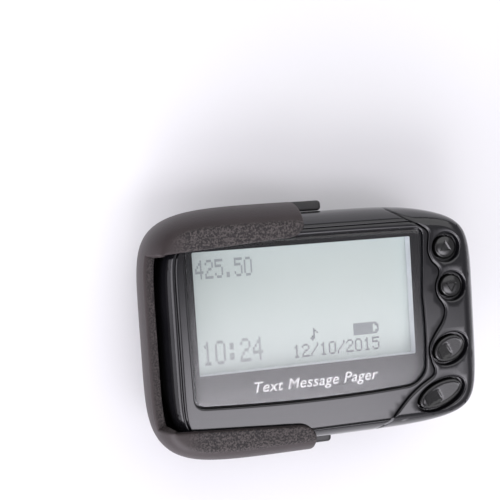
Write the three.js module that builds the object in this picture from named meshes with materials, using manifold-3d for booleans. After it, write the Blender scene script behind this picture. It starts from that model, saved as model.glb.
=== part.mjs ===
// A belt pager in its slide-on holster, lying face up on its belt clip.
// Millimetres. X runs along the display to the reader's right, Y up the display, Z out of the display.
// The pager's own numbers are measured from the middle of its back face; the last lines move the whole
// object so that its origin is the middle of its footprint, at the height of the clip's outer face.

import * as THREE from "three";
import { mergeVertices } from "three/addons/utils/BufferGeometryUtils.js";
import Module from "manifold-3d";

const wasm = await Module();
wasm.setup();

// ---------------------------------------------------------------- driving dimensions

// corner is a superellipse power at the widest line; it grows by tighten for each millimetre drawn in.
const PAGER = { halfLength: 41, halfHeight: 28.5, depth: 20, corner: 5, tighten: 1.15 };
const BELT = { z: 10.5, front: 7.49, frontReach: 10.5, back: 6, backReach: 11.5 }; // the widest line
const WALL = 1.6;
const FRONT_WALL = 2.4;
const SPLIT_Z = 9.5; // where the front and rear housings meet
const SEAM = 0.3; // gap between two mouldings
const FIT = 0.35; // gap round the pager inside its holster

const WINDOW = { x: -5.2, y: 6, halfWidth: 27.5, halfHeight: 14.75 };
const LENS = { thick: 1.2, gap: 0.3, mask: 0.18 };
const LCD = { faceZ: 15.2, glass: 1.8, halfWidth: 28.1, halfHeight: 15.8, wall: 1 };
const BOARD = { z: 10.9, thick: 1 };

const CELL = { radius: 5.2, length: 44.5, x: -7.5, y: -18.4, z: 7.2 };
const DOOR = { x0: -31, x1: 16, y0: -23.6, y1: -13.2, thick: 1.4, travel: 2.5 };
const SCREW = { head: 1.45, shank: 0.8, length: 9 };
const SCREWS = [
  ["left_top", -34.9, 16],
  ["left_bottom", -34.9, -14.6],
  ["lower", 21.3, -15.2],
  ["right", 33.6, -0.3],
];

const KEY_RECESS = 0.95; // how far the dish reaches round a key
const KEY_GAP = 0.3;
const KEY_TOP = 19.7;
const DISH_Z = 18.5;
const KEYS = [
  { name: "up", x: 31.4, y: 17.4, rx: 2.9, ry: 2.9, tilt: 0 },
  { name: "down", x: 32.5, y: 7.5, rx: 2.9, ry: 2.9, tilt: 0 },
  { name: "select", x: 31.2, y: -8.3, rx: 4.3, ry: 3.1, tilt: 24 },
  { name: "menu", x: 28.2, y: -19.6, rx: 6.1, ry: 2.9, tilt: 21 },
];

const HOLSTER = { halfLength: 45.3, halfHeight: 31.2, corner: 5.5, tighten: 0.5, widestZ: 10 };
const CRADLE = { frontZ: 21.8, backZ: -2.6, mouthX: -5.7, endGap: 1.9, rimZ: 17 };
const LIP = { rootX: -42, root: 20.6, tipX: -9.2, tip: 22.7, mouth: 25 }; // how near the lips come to y 0
const TONGUE = { endX: 7, halfHeight: 16 };
const LATCH = { x0: -15, x1: 0.3, z0: 4.4, z1: 9.4, inner: 28.95, thick: 2.2, pivotX: -13.6 };

const CLIP = { x: -11, halfWidth: 13, thick: 2, gap: 5, pivotY: 12.5, topY: 24, toeY: -21 };
const PIN = { radius: 0.9, z: -5.2, halfLength: 12.2 };

const CLIP_OUTER_Z = CRADLE.backZ - CLIP.gap - CLIP.thick;

// ---------------------------------------------------------------- materials

const finish = (color, roughness, metalness = 0) =>
  new THREE.MeshStandardMaterial({ color, roughness, metalness });
const GLOSS = finish(0x0d0d10, 0.12);
const KEY_GLOSS = finish(0x101013, 0.16);
const MATTE = finish(0x2b2826, 0.7);
const SATIN = finish(0x121214, 0.4);
const CLEAR = finish(0xdfe6e6, 0.03);
CLEAR.transparent = true;
CLEAR.opacity = 0.3;
const PRINT = finish(0x24242a, 0.3);
const LCD_GLASS = finish(0xc3d2cf, 0.2);
const WHITE = finish(0xd9dadd, 0.5);
const SILICONE = finish(0x2c2c30, 0.8);
const STEEL = finish(0xb4b6b8, 0.3, 1);
const BRASS = finish(0xb8954d, 0.35, 1);
const BOARD_GREEN = finish(0x1d5a36, 0.45);
const CHIP = finish(0x17171a, 0.55);
const CELL_JACKET = finish(0x3a5f8a, 0.35);
const LABEL = finish(0xc9c9c6, 0.5);

// ---------------------------------------------------------------- solids

// A closed three.js geometry as a solid that can be joined and cut.
function solid(geometry) {
  const bare = geometry.index ? geometry.toNonIndexed() : geometry.clone();
  bare.deleteAttribute("normal");
  bare.deleteAttribute("uv");
  const merged = mergeVertices(bare, 1e-4);
  const mesh = new wasm.Mesh({
    numProp: 3,
    vertProperties: new Float32Array(merged.attributes.position.array),
    triVerts: new Uint32Array(merged.index.array),
  });
  return new wasm.Manifold(mesh);
}

function geometryOf(body) {
  const { vertProperties, triVerts } = body.getMesh();
  const geometry = new THREE.BufferGeometry();
  geometry.setAttribute("position", new THREE.BufferAttribute(new Float32Array(vertProperties), 3));
  geometry.setIndex(new THREE.BufferAttribute(new Uint32Array(triVerts), 1));
  const faceted = geometry.toNonIndexed();
  faceted.computeVertexNormals();
  return faceted;
}

const joined = (...bodies) => bodies.reduce((a, b) => a.add(b));
const cut = (body, ...tools) => tools.reduce((a, b) => a.subtract(b), body);

function block(x0, x1, y0, y1, z0, z1) {
  const box = new THREE.BoxGeometry(x1 - x0, y1 - y0, z1 - z0);
  return solid(box.translate((x0 + x1) / 2, (y0 + y1) / 2, (z0 + z1) / 2));
}

// A straight prism over a loop of [x, y] points.
function prism(points, z0, z1) {
  const shape = new THREE.Shape(points.map(([x, y]) => new THREE.Vector2(x, y)));
  const made = new THREE.ExtrudeGeometry(shape, { depth: z1 - z0, bevelEnabled: false });
  return solid(made.translate(0, 0, z0));
}

function rod(x, y, radius, z0, z1, sides = 24) {
  const made = new THREE.CylinderGeometry(radius, radius, z1 - z0, sides);
  return solid(made.rotateX(Math.PI / 2).translate(x, y, (z0 + z1) / 2));
}

// A cylinder lying along X.
function axle(x0, x1, y, z, radius, sides = 24) {
  const made = new THREE.CylinderGeometry(radius, radius, x1 - x0, sides);
  return solid(made.rotateZ(Math.PI / 2).translate((x0 + x1) / 2, y, z));
}

function wire(points, radius, steps, sides = 8) {
  const section = new THREE.Shape();
  section.absarc(0, 0, radius, 0, Math.PI * 2);
  const curve = new THREE.CatmullRomCurve3(points.map((p) => new THREE.Vector3(...p)));
  const settings = { extrudePath: curve, steps, curveSegments: sides, bevelEnabled: false };
  return solid(new THREE.ExtrudeGeometry(section, settings));
}

// ---------------------------------------------------------------- outlines

const radians = THREE.MathUtils.degToRad;

// A bowed rectangle: the superellipse |x/a|^p + |y/b|^p = 1.
function bowedLoop(a, b, power, count) {
  const loop = [];
  for (let i = 0; i < count; i++) {
    const t = ((i + 0.5) / count) * Math.PI * 2;
    const c = Math.cos(t);
    const s = Math.sin(t);
    loop.push([
      a * Math.sign(c) * Math.abs(c) ** (2 / power),
      b * Math.sign(s) * Math.abs(s) ** (2 / power),
    ]);
  }
  return loop;
}

// An ellipse turned by tilt degrees about its middle.
function ovalLoop({ x, y, rx, ry, tilt }, grow = 0, count = 32) {
  const turn = radians(tilt);
  return Array.from({ length: count }, (_, i) => {
    const t = (i / count) * Math.PI * 2;
    const u = (rx + grow) * Math.cos(t);
    const v = (ry + grow) * Math.sin(t);
    return [x + u * Math.cos(turn) - v * Math.sin(turn), y + u * Math.sin(turn) + v * Math.cos(turn)];
  });
}

function roundedLoop(x0, x1, y0, y1, radius, steps = 5) {
  const corners = [[x1, y1, 0], [x0, y1, 90], [x0, y0, 180], [x1, y0, 270]];
  return corners.flatMap(([x, y, start]) =>
    Array.from({ length: steps + 1 }, (_, i) => {
      const t = radians(start + (90 * i) / steps);
      const cx = x === x1 ? x1 - radius : x0 + radius;
      const cy = y === y1 ? y1 - radius : y0 + radius;
      return [cx + radius * Math.cos(t), cy + radius * Math.sin(t)];
    }),
  );
}

// Moves every point of a line sideways: to the left of its direction of travel for a positive distance.
function shifted(points, distance, closed) {
  const n = points.length;
  return points.map(([x, y], i) => {
    const before = points[closed ? (i + n - 1) % n : Math.max(i - 1, 0)];
    const after = points[closed ? (i + 1) % n : Math.min(i + 1, n - 1)];
    const dx = after[0] - before[0];
    const dy = after[1] - before[1];
    const length = Math.hypot(dx, dy);
    return [x - (dy / length) * distance, y + (dx / length) * distance];
  });
}

// A closed skin through superellipse sections {z, a, b, power}, lowest first, with flat ends.
function loft(sections, count = 60) {
  const positions = [];
  const faces = [];
  for (const { z, a, b, power } of sections)
    for (const [x, y] of bowedLoop(a, b, power, count)) positions.push(x, y, z);
  for (let s = 0; s + 1 < sections.length; s++)
    for (let i = 0; i < count; i++) {
      const j = (i + 1) % count;
      const low = s * count;
      const high = low + count;
      faces.push(low + i, low + j, high + j, low + i, high + j, high + i);
    }
  const last = (sections.length - 1) * count;
  for (let i = 1; i + 1 < count; i++) {
    faces.push(0, i + 1, i);
    faces.push(last, last + i, last + i + 1);
  }
  const geometry = new THREE.BufferGeometry();
  geometry.setAttribute("position", new THREE.Float32BufferAttribute(positions, 3));
  geometry.setIndex(faces);
  return solid(geometry);
}

// How far the pager's side has drawn in from its widest line at height z.
function sideInset(z) {
  const front = z > BELT.z;
  const share = Math.abs(z - BELT.z) / (front ? BELT.frontReach : BELT.backReach);
  return (front ? BELT.front : BELT.back) * (1 - Math.sqrt(1 - share * share));
}

// The same for the holster, between its back and front faces.
function holsterInset(z) {
  const front = z > HOLSTER.widestZ;
  const share = Math.abs(z - HOLSTER.widestZ) / (front ? 12.8 : 13.6);
  return (front ? 7.57 : 6.74) * (1 - Math.sqrt(1 - share * share));
}

function pagerSkin(heights, growX, growY = growX) {
  const sections = heights.map((z) => {
    const inset = sideInset(THREE.MathUtils.clamp(z, 0, PAGER.depth));
    const power = PAGER.corner + PAGER.tighten * inset;
    return { z, a: PAGER.halfLength - inset + growX, b: PAGER.halfHeight - inset + growY, power };
  });
  return loft(sections);
}

// The line where the end cap meets the front housing: it winds past the keys, from the top side down.
const CAP_LINE = [
  [13.6, 31], [19.6, 26.4], [22.6, 24.5], [25.2, 22.9], [26.7, 21.4], [26.5, 18.8], [26.4, 16.6],
  [27.3, 14.2], [28.9, 12.4], [29.1, 10.9], [28.3, 9], [28, 7.2], [28.5, 5.1], [29.9, 2.9], [30.2, 1.2],
  [29.3, -1.2], [27.2, -4.1], [25.8, -6.6], [25.5, -8.8], [26, -11.2], [26.6, -13.2], [25.9, -14.7],
  [22.8, -16.6], [19.7, -18.9], [17, -21.6], [14.4, -24.6], [8.5, -31.5],
];

function capLoop(distance) {
  const curve = new THREE.SplineCurve(CAP_LINE.map(([x, y]) => new THREE.Vector2(x, y)));
  const line = curve.getPoints(90).map((p) => [p.x, p.y]);
  return [...shifted(line, distance, false), [60, -31.5], [60, 31]];
}

// The lens: nearly straight top and left, a bowed foot, a hollow right side and a cut lower right corner.
function lensLoop(grow) {
  const s = new THREE.Shape();
  s.moveTo(-31.9, -15.8);
  s.quadraticCurveTo(-4, -17.6, 19.2, -16.2);
  s.quadraticCurveTo(21, -16, 22.2, -14.9);
  s.quadraticCurveTo(24, -13.4, 24.1, -11.6);
  s.quadraticCurveTo(24.7, -4, 24.1, 6);
  s.quadraticCurveTo(24.6, 14, 24.9, 20.6);
  s.quadraticCurveTo(24.9, 22.3, 23.1, 22.4);
  s.quadraticCurveTo(-5, 22.9, -33.2, 22.3);
  s.quadraticCurveTo(-34.4, 22.2, -34.4, 21);
  s.quadraticCurveTo(-34.4, 0, -34.1, -13.6);
  s.quadraticCurveTo(-34, -15.6, -31.9, -15.8);
  const points = s.getPoints(6).map((p) => [p.x, p.y]);
  points.pop(); // the loop closes on its first point
  return shifted(points, -grow, true);
}

const windowLoop = (grow, radius) =>
  roundedLoop(
    WINDOW.x - WINDOW.halfWidth - grow, WINDOW.x + WINDOW.halfWidth + grow,
    WINDOW.y - WINDOW.halfHeight - grow, WINDOW.y + WINDOW.halfHeight + grow,
    radius, 2,
  );

// ---------------------------------------------------------------- the pager's casing

const FRONT_HEIGHTS = [SPLIT_Z, 12, 14.5, 16.6, 18.2, 19.3, PAGER.depth];
const INNER_FRONT_HEIGHTS = [SPLIT_Z - 1, 12, 15, PAGER.depth - FRONT_WALL];
const frontOuter = pagerSkin(FRONT_HEIGHTS, 0);
const frontInner = pagerSkin(INNER_FRONT_HEIGHTS, -WALL);

// The pillar that a case screw's end goes into.
function boss(x, y) {
  const top = PAGER.depth - FRONT_WALL + 0.5;
  return cut(rod(x, y, 1.5, SPLIT_Z, top, 16), rod(x, y, 0.9, SPLIT_Z - 1, SPLIT_Z + 2, 12));
}

function frontHousing() {
  const lensSeat = prism(lensLoop(LENS.gap), PAGER.depth - LENS.thick - 0.3, PAGER.depth + 1);
  const aperture = prism(windowLoop(0.9, 0.8), SPLIT_Z, PAGER.depth);
  const shell = cut(frontOuter, frontInner, lensSeat, aperture, prism(capLoop(-SEAM / 2), 5, 25));
  return joined(shell, ...SCREWS.slice(0, 3).map(([, x, y]) => boss(x, y)));
}

function endCap() {
  const dishes = KEYS.map((k) => prism(ovalLoop(k, KEY_RECESS), DISH_Z, PAGER.depth + 1));
  const holes = KEYS.map((k) => prism(ovalLoop(k, KEY_GAP, 24), SPLIT_Z, PAGER.depth));
  const cap = frontOuter.intersect(prism(capLoop(SEAM / 2), 5, 25));
  const [, x, y] = SCREWS[3];
  return joined(cut(cap, frontInner, ...dishes, ...holes), boss(x, y));
}

function rearHousing() {
  const top = SPLIT_Z - SEAM;
  const outer = pagerSkin([0, 0.5, 1.6, 3.6, 6.4, top], 0);
  const inner = pagerSkin([WALL, 3, 6, top + 1], -WALL);
  const doorEnd = DOOR.x1 + DOOR.travel + 0.3;
  const doorway = block(DOOR.x0 - 0.3, doorEnd, DOOR.y0 - 0.3, DOOR.y1 + 0.3, -1, DOOR.thick + 0.1);
  const bay = block(DOOR.x0 + 1, DOOR.x1 - 0.6, DOOR.y0 + 0.2, DOOR.y1 - 0.2, -1, WALL + 1);
  const slots = [0, 1, 2, 3].map((i) => block(14, 24, 9.4 + i * 2.6, 10.6 + i * 2.6, -1, WALL + 1));
  const bays = SCREWS.map(([, x, y]) => rod(x, y, 1.9, -1, 1.1, 20));
  const holes = SCREWS.map(([, x, y]) => rod(x, y, 1, -1, top + 1, 12));
  const posts = SCREWS.map(([, x, y]) => rod(x, y, 2.1, WALL - 0.2, top, 16));
  const springEnd = CELL.x + CELL.length / 2 + 2;
  const ribs = [
    block(DOOR.x0 - 0.4, DOOR.x1 + 3, DOOR.y1 + 0.4, DOOR.y1 + 1.4, WALL - 0.2, 8),
    block(DOOR.x0 - 0.6, DOOR.x0 + 0.3, DOOR.y0 + 1, DOOR.y1 + 1, WALL + 0.1, 8),
    block(springEnd, springEnd + 1, DOOR.y0 + 1, DOOR.y1 + 1, WALL + 0.1, 8),
  ];
  const label = block(-26, 9, -3, 19, -1, 0.3);
  const bayFloor = block(DOOR.x0 - 0.5, DOOR.x1 + 3.4, DOOR.y0 - 0.5, DOOR.y1 + 0.6, WALL - 0.3, WALL + 0.9);
  const shell = joined(cut(outer, inner), ...posts, ...ribs, bayFloor.intersect(outer));
  return cut(shell, doorway, bay, label, ...slots, ...bays, ...holes);
}

// ---------------------------------------------------------------- display stack

function displayLens() {
  return prism(lensLoop(0), PAGER.depth - LENS.thick, PAGER.depth);
}

function lensMask() {
  const top = PAGER.depth - LENS.thick - 0.02;
  return cut(prism(lensLoop(-0.1), top - LENS.mask, top), prism(windowLoop(0, 0.3), 0, 30));
}

// The light box that holds the glass: its pale walls show round the display's edge.
function lcdFrame() {
  const top = PAGER.depth - LENS.thick - LENS.mask - 0.12;
  const low = LCD.faceZ - LCD.glass - 1.3;
  const outer = prism(windowLoop(0.75, 0.6), LCD.faceZ + 0.1, top);
  const base = block(
    WINDOW.x - LCD.halfWidth - LCD.wall, WINDOW.x + LCD.halfWidth + LCD.wall,
    WINDOW.y - LCD.halfHeight - LCD.wall, WINDOW.y + LCD.halfHeight + LCD.wall, low, LCD.faceZ + 0.9,
  );
  const pocket = block(
    WINDOW.x - LCD.halfWidth - 0.15, WINDOW.x + LCD.halfWidth + 0.15,
    WINDOW.y - LCD.halfHeight - 0.15, WINDOW.y + LCD.halfHeight + 0.15, 0, LCD.faceZ + 0.15,
  );
  const [, x, y] = SCREWS[0];
  return cut(joined(outer, base), pocket, prism(windowLoop(0.15, 0.3), 0, 30), rod(x, y, 1.8, 0, 30, 16));
}

function lcdPlate(inset, z0, z1) {
  return block(
    WINDOW.x - LCD.halfWidth + inset, WINDOW.x + LCD.halfWidth - inset,
    WINDOW.y - LCD.halfHeight + inset, WINDOW.y + LCD.halfHeight - inset, z0, z1,
  );
}

const boardTop = BOARD.z + BOARD.thick;
const zebraY = WINDOW.y - LCD.halfHeight + 0.3;

// It stops short of the glass's lower edge, where the zebra strip joins the glass to the board.
function backlightPanel() {
  const low = LCD.faceZ - LCD.glass - 1.1;
  return cut(lcdPlate(0.4, low, low + 0.95), block(-60, 60, zebraY - 2, zebraY + 2.1, 0, 30));
}

function zebraConnector() {
  return block(-31, 20, zebraY, zebraY + 1.8, boardTop + 0.1, LCD.faceZ - LCD.glass - 0.1);
}

// ---------------------------------------------------------------- circuit board and what stands on it

function mainBoard() {
  const outline = [[36.2, 24.4], [-38, 24.4], [-38, -12], [17, -12], [17, -22.5], [36.2, -22.5]];
  const holes = SCREWS.map(([, x, y]) => rod(x, y, 2.3, 0, 30, 16));
  const room = pagerSkin([BOARD.z - 1, boardTop + 1], -WALL - 0.6);
  return cut(prism(outline, BOARD.z, boardTop).intersect(room), ...holes);
}

function switchBody({ x, y }) {
  const can = block(x - 2.9, x + 2.9, y - 2.9, y + 2.9, boardTop + 0.05, 15);
  return cut(can, rod(x, y, 1.7, 13.5, 16, 16));
}

const switchPlunger = ({ x, y }) => rod(x, y, 1.35, 14.2, 15.7, 16);

function keyCap(key) {
  const stem = rod(key.x, key.y, 1.1, 15.8, 17, 12);
  const flange = prism(ovalLoop(key, 0.75, 24), 16.3, 17.1);
  const body = prism(ovalLoop(key, 0, 32), 16.8, KEY_TOP - 0.45);
  const crown = prism(ovalLoop(key, -0.4, 32), KEY_TOP - 0.6, KEY_TOP);
  return joined(stem, flange, body, crown);
}

function keypadSheet() {
  const loop = roundedLoop(25, 36.2, -23.6, 22, 3);
  const stems = KEYS.map(({ x, y }) => rod(x, y, 1.6, 0, 30, 16));
  const [, sx, sy] = SCREWS[3];
  const inside = pagerSkin(INNER_FRONT_HEIGHTS, -WALL - 0.4);
  return cut(prism(loop, 15.1, 15.5), ...stems, rod(sx, sy, 2.3, 0, 30, 16)).intersect(inside);
}

// A flat strip standing on the board's top edge, with a solder foot at each end.
function loopAntenna() {
  const foot = boardTop + 0.1;
  return joined(
    block(-27, 20, 23.4, 23.9, foot, foot + 2.4),
    block(-27, -25.5, 23.4, 24.3, foot, foot + 0.5),
    block(18.5, 20, 23.4, 24.3, foot, foot + 0.5),
  );
}

function beveledCan(x0, x1, y0, y1, z0, z1, radius) {
  return prism(roundedLoop(x0, x1, y0, y1, radius, 3), z0, z1);
}

function shieldCan() {
  const can = beveledCan(-29, -4, -8, 17, 8, BOARD.z - 0.1, 1.2);
  const inside = beveledCan(-28.6, -4.4, -7.6, 16.6, 8.4, BOARD.z + 1, 1);
  const vents = [[-24, 13], [-9, -4]].map(([x, y]) => rod(x, y, 0.7, 0, 9, 10));
  return cut(can, inside, ...vents);
}

// ---------------------------------------------------------------- motor, buzzer, battery

const MOTOR = { x0: 17.2, x1: 27.6, y: -6.4, z: 5.4, radius: 2.9 };

function vibrationMotor() {
  const can = axle(MOTOR.x0, MOTOR.x1, MOTOR.y, MOTOR.z, MOTOR.radius);
  const nose = axle(MOTOR.x1 - 0.2, MOTOR.x1 + 0.6, MOTOR.y, MOTOR.z, 1.2, 16);
  return cut(joined(can, nose), axle(MOTOR.x1 - 4, MOTOR.x1 + 1, MOTOR.y, MOTOR.z, 0.55, 12));
}

function motorCradle() {
  const { x0, x1, y, z } = MOTOR;
  const base = block(x0 + 1.5, x1 - 1.5, y - 3.9, y + 3.9, WALL + 0.15, z + 1.2);
  return cut(base, axle(x0 - 1, x1 + 1, y, z, MOTOR.radius + 0.15));
}

// A half disc on its shaft, heavy side down.
function vibrationWeight() {
  const half = new THREE.Shape();
  half.absarc(0, 0, 2.7, radians(190), radians(350), false);
  half.lineTo(1, 0.9);
  half.lineTo(-1, 0.9);
  const slab = new THREE.ExtrudeGeometry(half, { depth: 3.6, bevelEnabled: false, curveSegments: 12 });
  slab.rotateX(Math.PI / 2).rotateZ(Math.PI / 2).translate(MOTOR.x1 + 1, MOTOR.y, MOTOR.z);
  const shaft = axle(MOTOR.x1 - 3.6, MOTOR.x1 + 4.8, MOTOR.y, MOTOR.z, 0.4, 12);
  return joined(solid(slab), shaft);
}

function buzzer() {
  const can = rod(19, 13.4, 6, WALL + 0.6, 7, 32);
  return cut(can, rod(19, 13.4, 1.2, 0, 3.5, 12));
}

const buzzerGasket = () => cut(rod(19, 13.4, 5.6, WALL + 0.1, WALL + 0.5, 24), rod(19, 13.4, 4.6, 0, 4, 24));

const cellEnd = { left: CELL.x - CELL.length / 2, right: CELL.x + CELL.length / 2 };

function batteryCell() {
  const nub = axle(cellEnd.left, cellEnd.left + 1.2, CELL.y, CELL.z, 1.9, 20);
  const barrel = axle(cellEnd.left + 0.9, cellEnd.right, CELL.y, CELL.z, CELL.radius, 36);
  return joined(nub, barrel);
}

// The negative contact: a cone of wire, wide end on the compartment's wall.
function batterySpring() {
  const turns = 2;
  const points = [];
  for (let i = 0; i <= turns * 12; i++) {
    const share = i / (turns * 12);
    const t = share * turns * Math.PI * 2;
    const r = 3.4 - 1.6 * share;
    points.push([cellEnd.right + 1.75 - 1.35 * share, CELL.y + r * Math.cos(t), CELL.z + r * Math.sin(t)]);
  }
  return wire(points, 0.2, 44, 4);
}

const batteryPlate = () =>
  block(cellEnd.left - 0.75, cellEnd.left - 0.25, CELL.y - 3.4, CELL.y + 3.4, 3.2, 10.4);

// The door slides along X; its ridged pad gives the thumb a hold.
function batteryDoor() {
  const panel = prism(roundedLoop(DOOR.x0, DOOR.x1, DOOR.y0, DOOR.y1, 0.8, 3), 0.05, DOOR.thick);
  const ridges = [0, 1, 2, 3, 4].map((i) => {
    const x = DOOR.x1 - 9 + i * 1.6;
    return block(x, x + 0.7, DOOR.y0 + 2.4, DOOR.y1 - 2.4, -1, 0.5);
  });
  return cut(panel, ...ridges);
}

function screw([, x, y]) {
  const head = rod(x, y, SCREW.head, 0.35, 1, 20);
  const shank = rod(x, y, SCREW.shank, 0.9, SCREW.length, 12);
  const cross = joined(
    block(x - 1, x + 1, y - 0.2, y + 0.2, 0, 0.75),
    block(x - 0.2, x + 0.2, y - 1, y + 1, 0, 0.75),
  );
  return cut(joined(head, shank), cross);
}

// ---------------------------------------------------------------- holster

function lipLoop() {
  const side = [
    [-60, LIP.root - 0.3], [LIP.rootX, LIP.root], [LIP.tipX, LIP.tip],
    [LIP.tipX + 1.6, LIP.tip + 0.5], [LIP.tipX + 2.9, LIP.tip + 1.6],
    [CRADLE.mouthX + 0.1, LIP.mouth], [10, LIP.mouth],
  ];
  return [...side.map(([x, y]) => [x, -y]), ...side.reverse()];
}

function holsterCradle() {
  const heights = [CRADLE.backZ, -1.6, 0.6, 4, 8, 12, 15.5, 18.4, 20.6, CRADLE.frontZ];
  const sections = heights.map((z) => {
    const inset = holsterInset(z);
    const power = HOLSTER.corner + HOLSTER.tighten * inset;
    return { z, a: HOLSTER.halfLength - inset, b: HOLSTER.halfHeight - inset, power };
  });
  const outer = loft(sections, 64);
  const cavity = pagerSkin([-SEAM, 2, 5, BELT.z, 14, 17, 19, PAGER.depth + SEAM], CRADLE.endGap, FIT);
  const face = prism(lipLoop(), CRADLE.rimZ, 30);
  const open = block(CRADLE.mouthX, 60, -40, 40, -SEAM, 40);
  const beyond = cut(
    block(CRADLE.mouthX, 60, -40, 40, -20, 40),
    prism(roundedLoop(-30, TONGUE.endX, -TONGUE.halfHeight, TONGUE.halfHeight, 4), -20, 40),
  );
  const slots = [1, -1].map((side) => {
    const [near, far] = [side * (LATCH.inner - 0.5), side * 40].sort((a, b) => a - b);
    return block(LATCH.x0 - 0.3, 10, near, far, LATCH.z0 - 0.3, LATCH.z1 + 0.3);
  });
  const ears = [-1, 1].map((side) => {
    const x = CLIP.x + side * 7;
    const ear = joined(
      block(x - 1.2, x + 1.2, CLIP.pivotY - 2.2, CLIP.pivotY + 2.2, PIN.z, CRADLE.backZ + 0.5),
      axle(x - 1.2, x + 1.2, CLIP.pivotY, PIN.z, 2.2, 20),
    );
    return cut(ear, axle(x - 3, x + 3, CLIP.pivotY, PIN.z, PIN.radius + 0.1, 20));
  });
  return joined(cut(outer, cavity, face, open, beyond, ...slots), ...ears);
}

function latch(side) {
  const edges = [side * LATCH.inner, side * (LATCH.inner + LATCH.thick)].sort((a, b) => a - b);
  const bar = block(LATCH.x0, LATCH.x1, ...edges, LATCH.z0, LATCH.z1 - 0.6);
  const root = block(LATCH.x0, CRADLE.mouthX + 1.4, ...edges, LATCH.z0, LATCH.z1);
  const tip = prism(roundedLoop(LATCH.x1 - 2, LATCH.x1, ...edges, 0.5, 3), LATCH.z0, LATCH.z1);
  return joined(bar, root, tip);
}

// The lever, seen from its side: a flat plate with a toe that turns in to the holster's back.
function beltClip() {
  const inner = CLIP_OUTER_Z + CLIP.thick;
  const side = new THREE.Shape();
  side.moveTo(CLIP.topY - 1, CLIP_OUTER_Z + 0.5);
  side.lineTo(CLIP.topY - 4, CLIP_OUTER_Z);
  side.lineTo(CLIP.toeY + 5, CLIP_OUTER_Z);
  side.quadraticCurveTo(CLIP.toeY, CLIP_OUTER_Z, CLIP.toeY - 0.6, CLIP_OUTER_Z + 3.6);
  side.lineTo(CLIP.toeY - 0.6, CRADLE.backZ - 1);
  side.quadraticCurveTo(CLIP.toeY - 0.4, CRADLE.backZ - 0.3, CLIP.toeY + 0.5, CRADLE.backZ - 0.3);
  side.quadraticCurveTo(CLIP.toeY + 1.6, CRADLE.backZ - 0.4, CLIP.toeY + 1.8, CRADLE.backZ - 1.6);
  side.quadraticCurveTo(CLIP.toeY + 2.4, inner, CLIP.toeY + 5.5, inner);
  side.lineTo(CLIP.topY - 3, inner);
  side.lineTo(CLIP.topY, inner + 0.5);
  const width = { depth: CLIP.halfWidth * 2, bevelEnabled: false, curveSegments: 6 };
  const plate = new THREE.ExtrudeGeometry(side, width);
  plate.rotateX(Math.PI / 2).rotateZ(Math.PI / 2).translate(CLIP.x - CLIP.halfWidth, 0, 0);
  const ears = [-1, 1].map((s) => {
    const x = CLIP.x + s * 10.4;
    const ear = joined(
      block(x - 1.1, x + 1.1, CLIP.pivotY - 2, CLIP.pivotY + 2, inner - 0.2, PIN.z),
      axle(x - 1.1, x + 1.1, CLIP.pivotY, PIN.z, 2, 20),
    );
    return cut(ear, axle(x - 3, x + 3, CLIP.pivotY, PIN.z, PIN.radius + 0.08, 20));
  });
  const grips = [0, 1, 2, 3].map((i) => {
    const y = CLIP.topY - 9 + i * 1.8;
    return block(CLIP.x - 8, CLIP.x + 8, y, y + 0.9, -20, CLIP_OUTER_Z + 0.4);
  });
  return cut(joined(solid(plate), ...ears), ...grips);
}

const clipPin = () => axle(CLIP.x - PIN.halfLength, CLIP.x + PIN.halfLength, CLIP.pivotY, PIN.z, PIN.radius, 20);

// A torsion spring round the pin: one leg on the holster's back, the other under the lever.
function clipSpring() {
  const radius = 1.5;
  const turns = 5;
  const half = 3.6;
  const points = [[CLIP.x - half, CLIP.pivotY - 8, CRADLE.backZ - 0.5]];
  for (let i = 0; i <= turns * 10; i++) {
    const share = i / (turns * 10);
    const t = Math.PI / 2 + share * turns * Math.PI * 2;
    points.push([CLIP.x - half + 2 * half * share, CLIP.pivotY - radius * Math.cos(t), PIN.z + radius * Math.sin(t)]);
  }
  points.push([CLIP.x + half, CLIP.pivotY + 2, PIN.z + radius]);
  points.push([CLIP.x + half, CLIP.pivotY + 4, PIN.z + 0.3]);
  points.push([CLIP.x + half, CLIP.pivotY + 7.5, CLIP_OUTER_Z + CLIP.thick + 0.5]);
  return wire(points, 0.3, 110, 4);
}

// ---------------------------------------------------------------- assembly

const assembly = new THREE.Group();
const add = (name, body, material) => {
  const mesh = new THREE.Mesh(geometryOf(body), material);
  mesh.name = name;
  assembly.add(mesh);
};

add("front_housing", frontHousing(), GLOSS);
add("end_cap", endCap(), GLOSS);
add("rear_housing", rearHousing(), SATIN);
add("display_lens", displayLens(), CLEAR);
add("lens_mask", lensMask(), PRINT);
add("lcd_frame", lcdFrame(), WHITE);
add("lcd_glass", lcdPlate(0, LCD.faceZ - LCD.glass, LCD.faceZ), LCD_GLASS);
add("backlight_panel", backlightPanel(), WHITE);
add("zebra_connector", zebraConnector(), SILICONE);
add("main_board", mainBoard(), BOARD_GREEN);
add("rf_shield", shieldCan(), STEEL);
add("processor_chip", block(-2, 8, 2, 12, BOARD.z - 1.5, BOARD.z - 0.1), CHIP);
add("decoder_chip", block(0, 6, -7, -1, BOARD.z - 1.3, BOARD.z - 0.1), CHIP);
add("crystal_can", beveledCan(-37, -31.6, 0, 10, BOARD.z - 2.4, BOARD.z - 0.1, 1.6), STEEL);
add("loop_antenna", loopAntenna(), BRASS);
add("vibration_motor", vibrationMotor(), STEEL);
add("motor_cradle", motorCradle(), SILICONE);
add("vibration_weight", vibrationWeight(), STEEL);
add("buzzer", buzzer(), CHIP);
add("buzzer_gasket", buzzerGasket(), SILICONE);
add("battery_cell", batteryCell(), CELL_JACKET);
add("battery_spring", batterySpring(), STEEL);
add("battery_plate", batteryPlate(), BRASS);
add("battery_door", batteryDoor(), SATIN);
add("rating_label", prism(roundedLoop(-25.6, 8.6, -2.6, 18.6, 1, 3), 0.02, 0.22), LABEL);
add("keypad_sheet", keypadSheet(), SILICONE);
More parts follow.
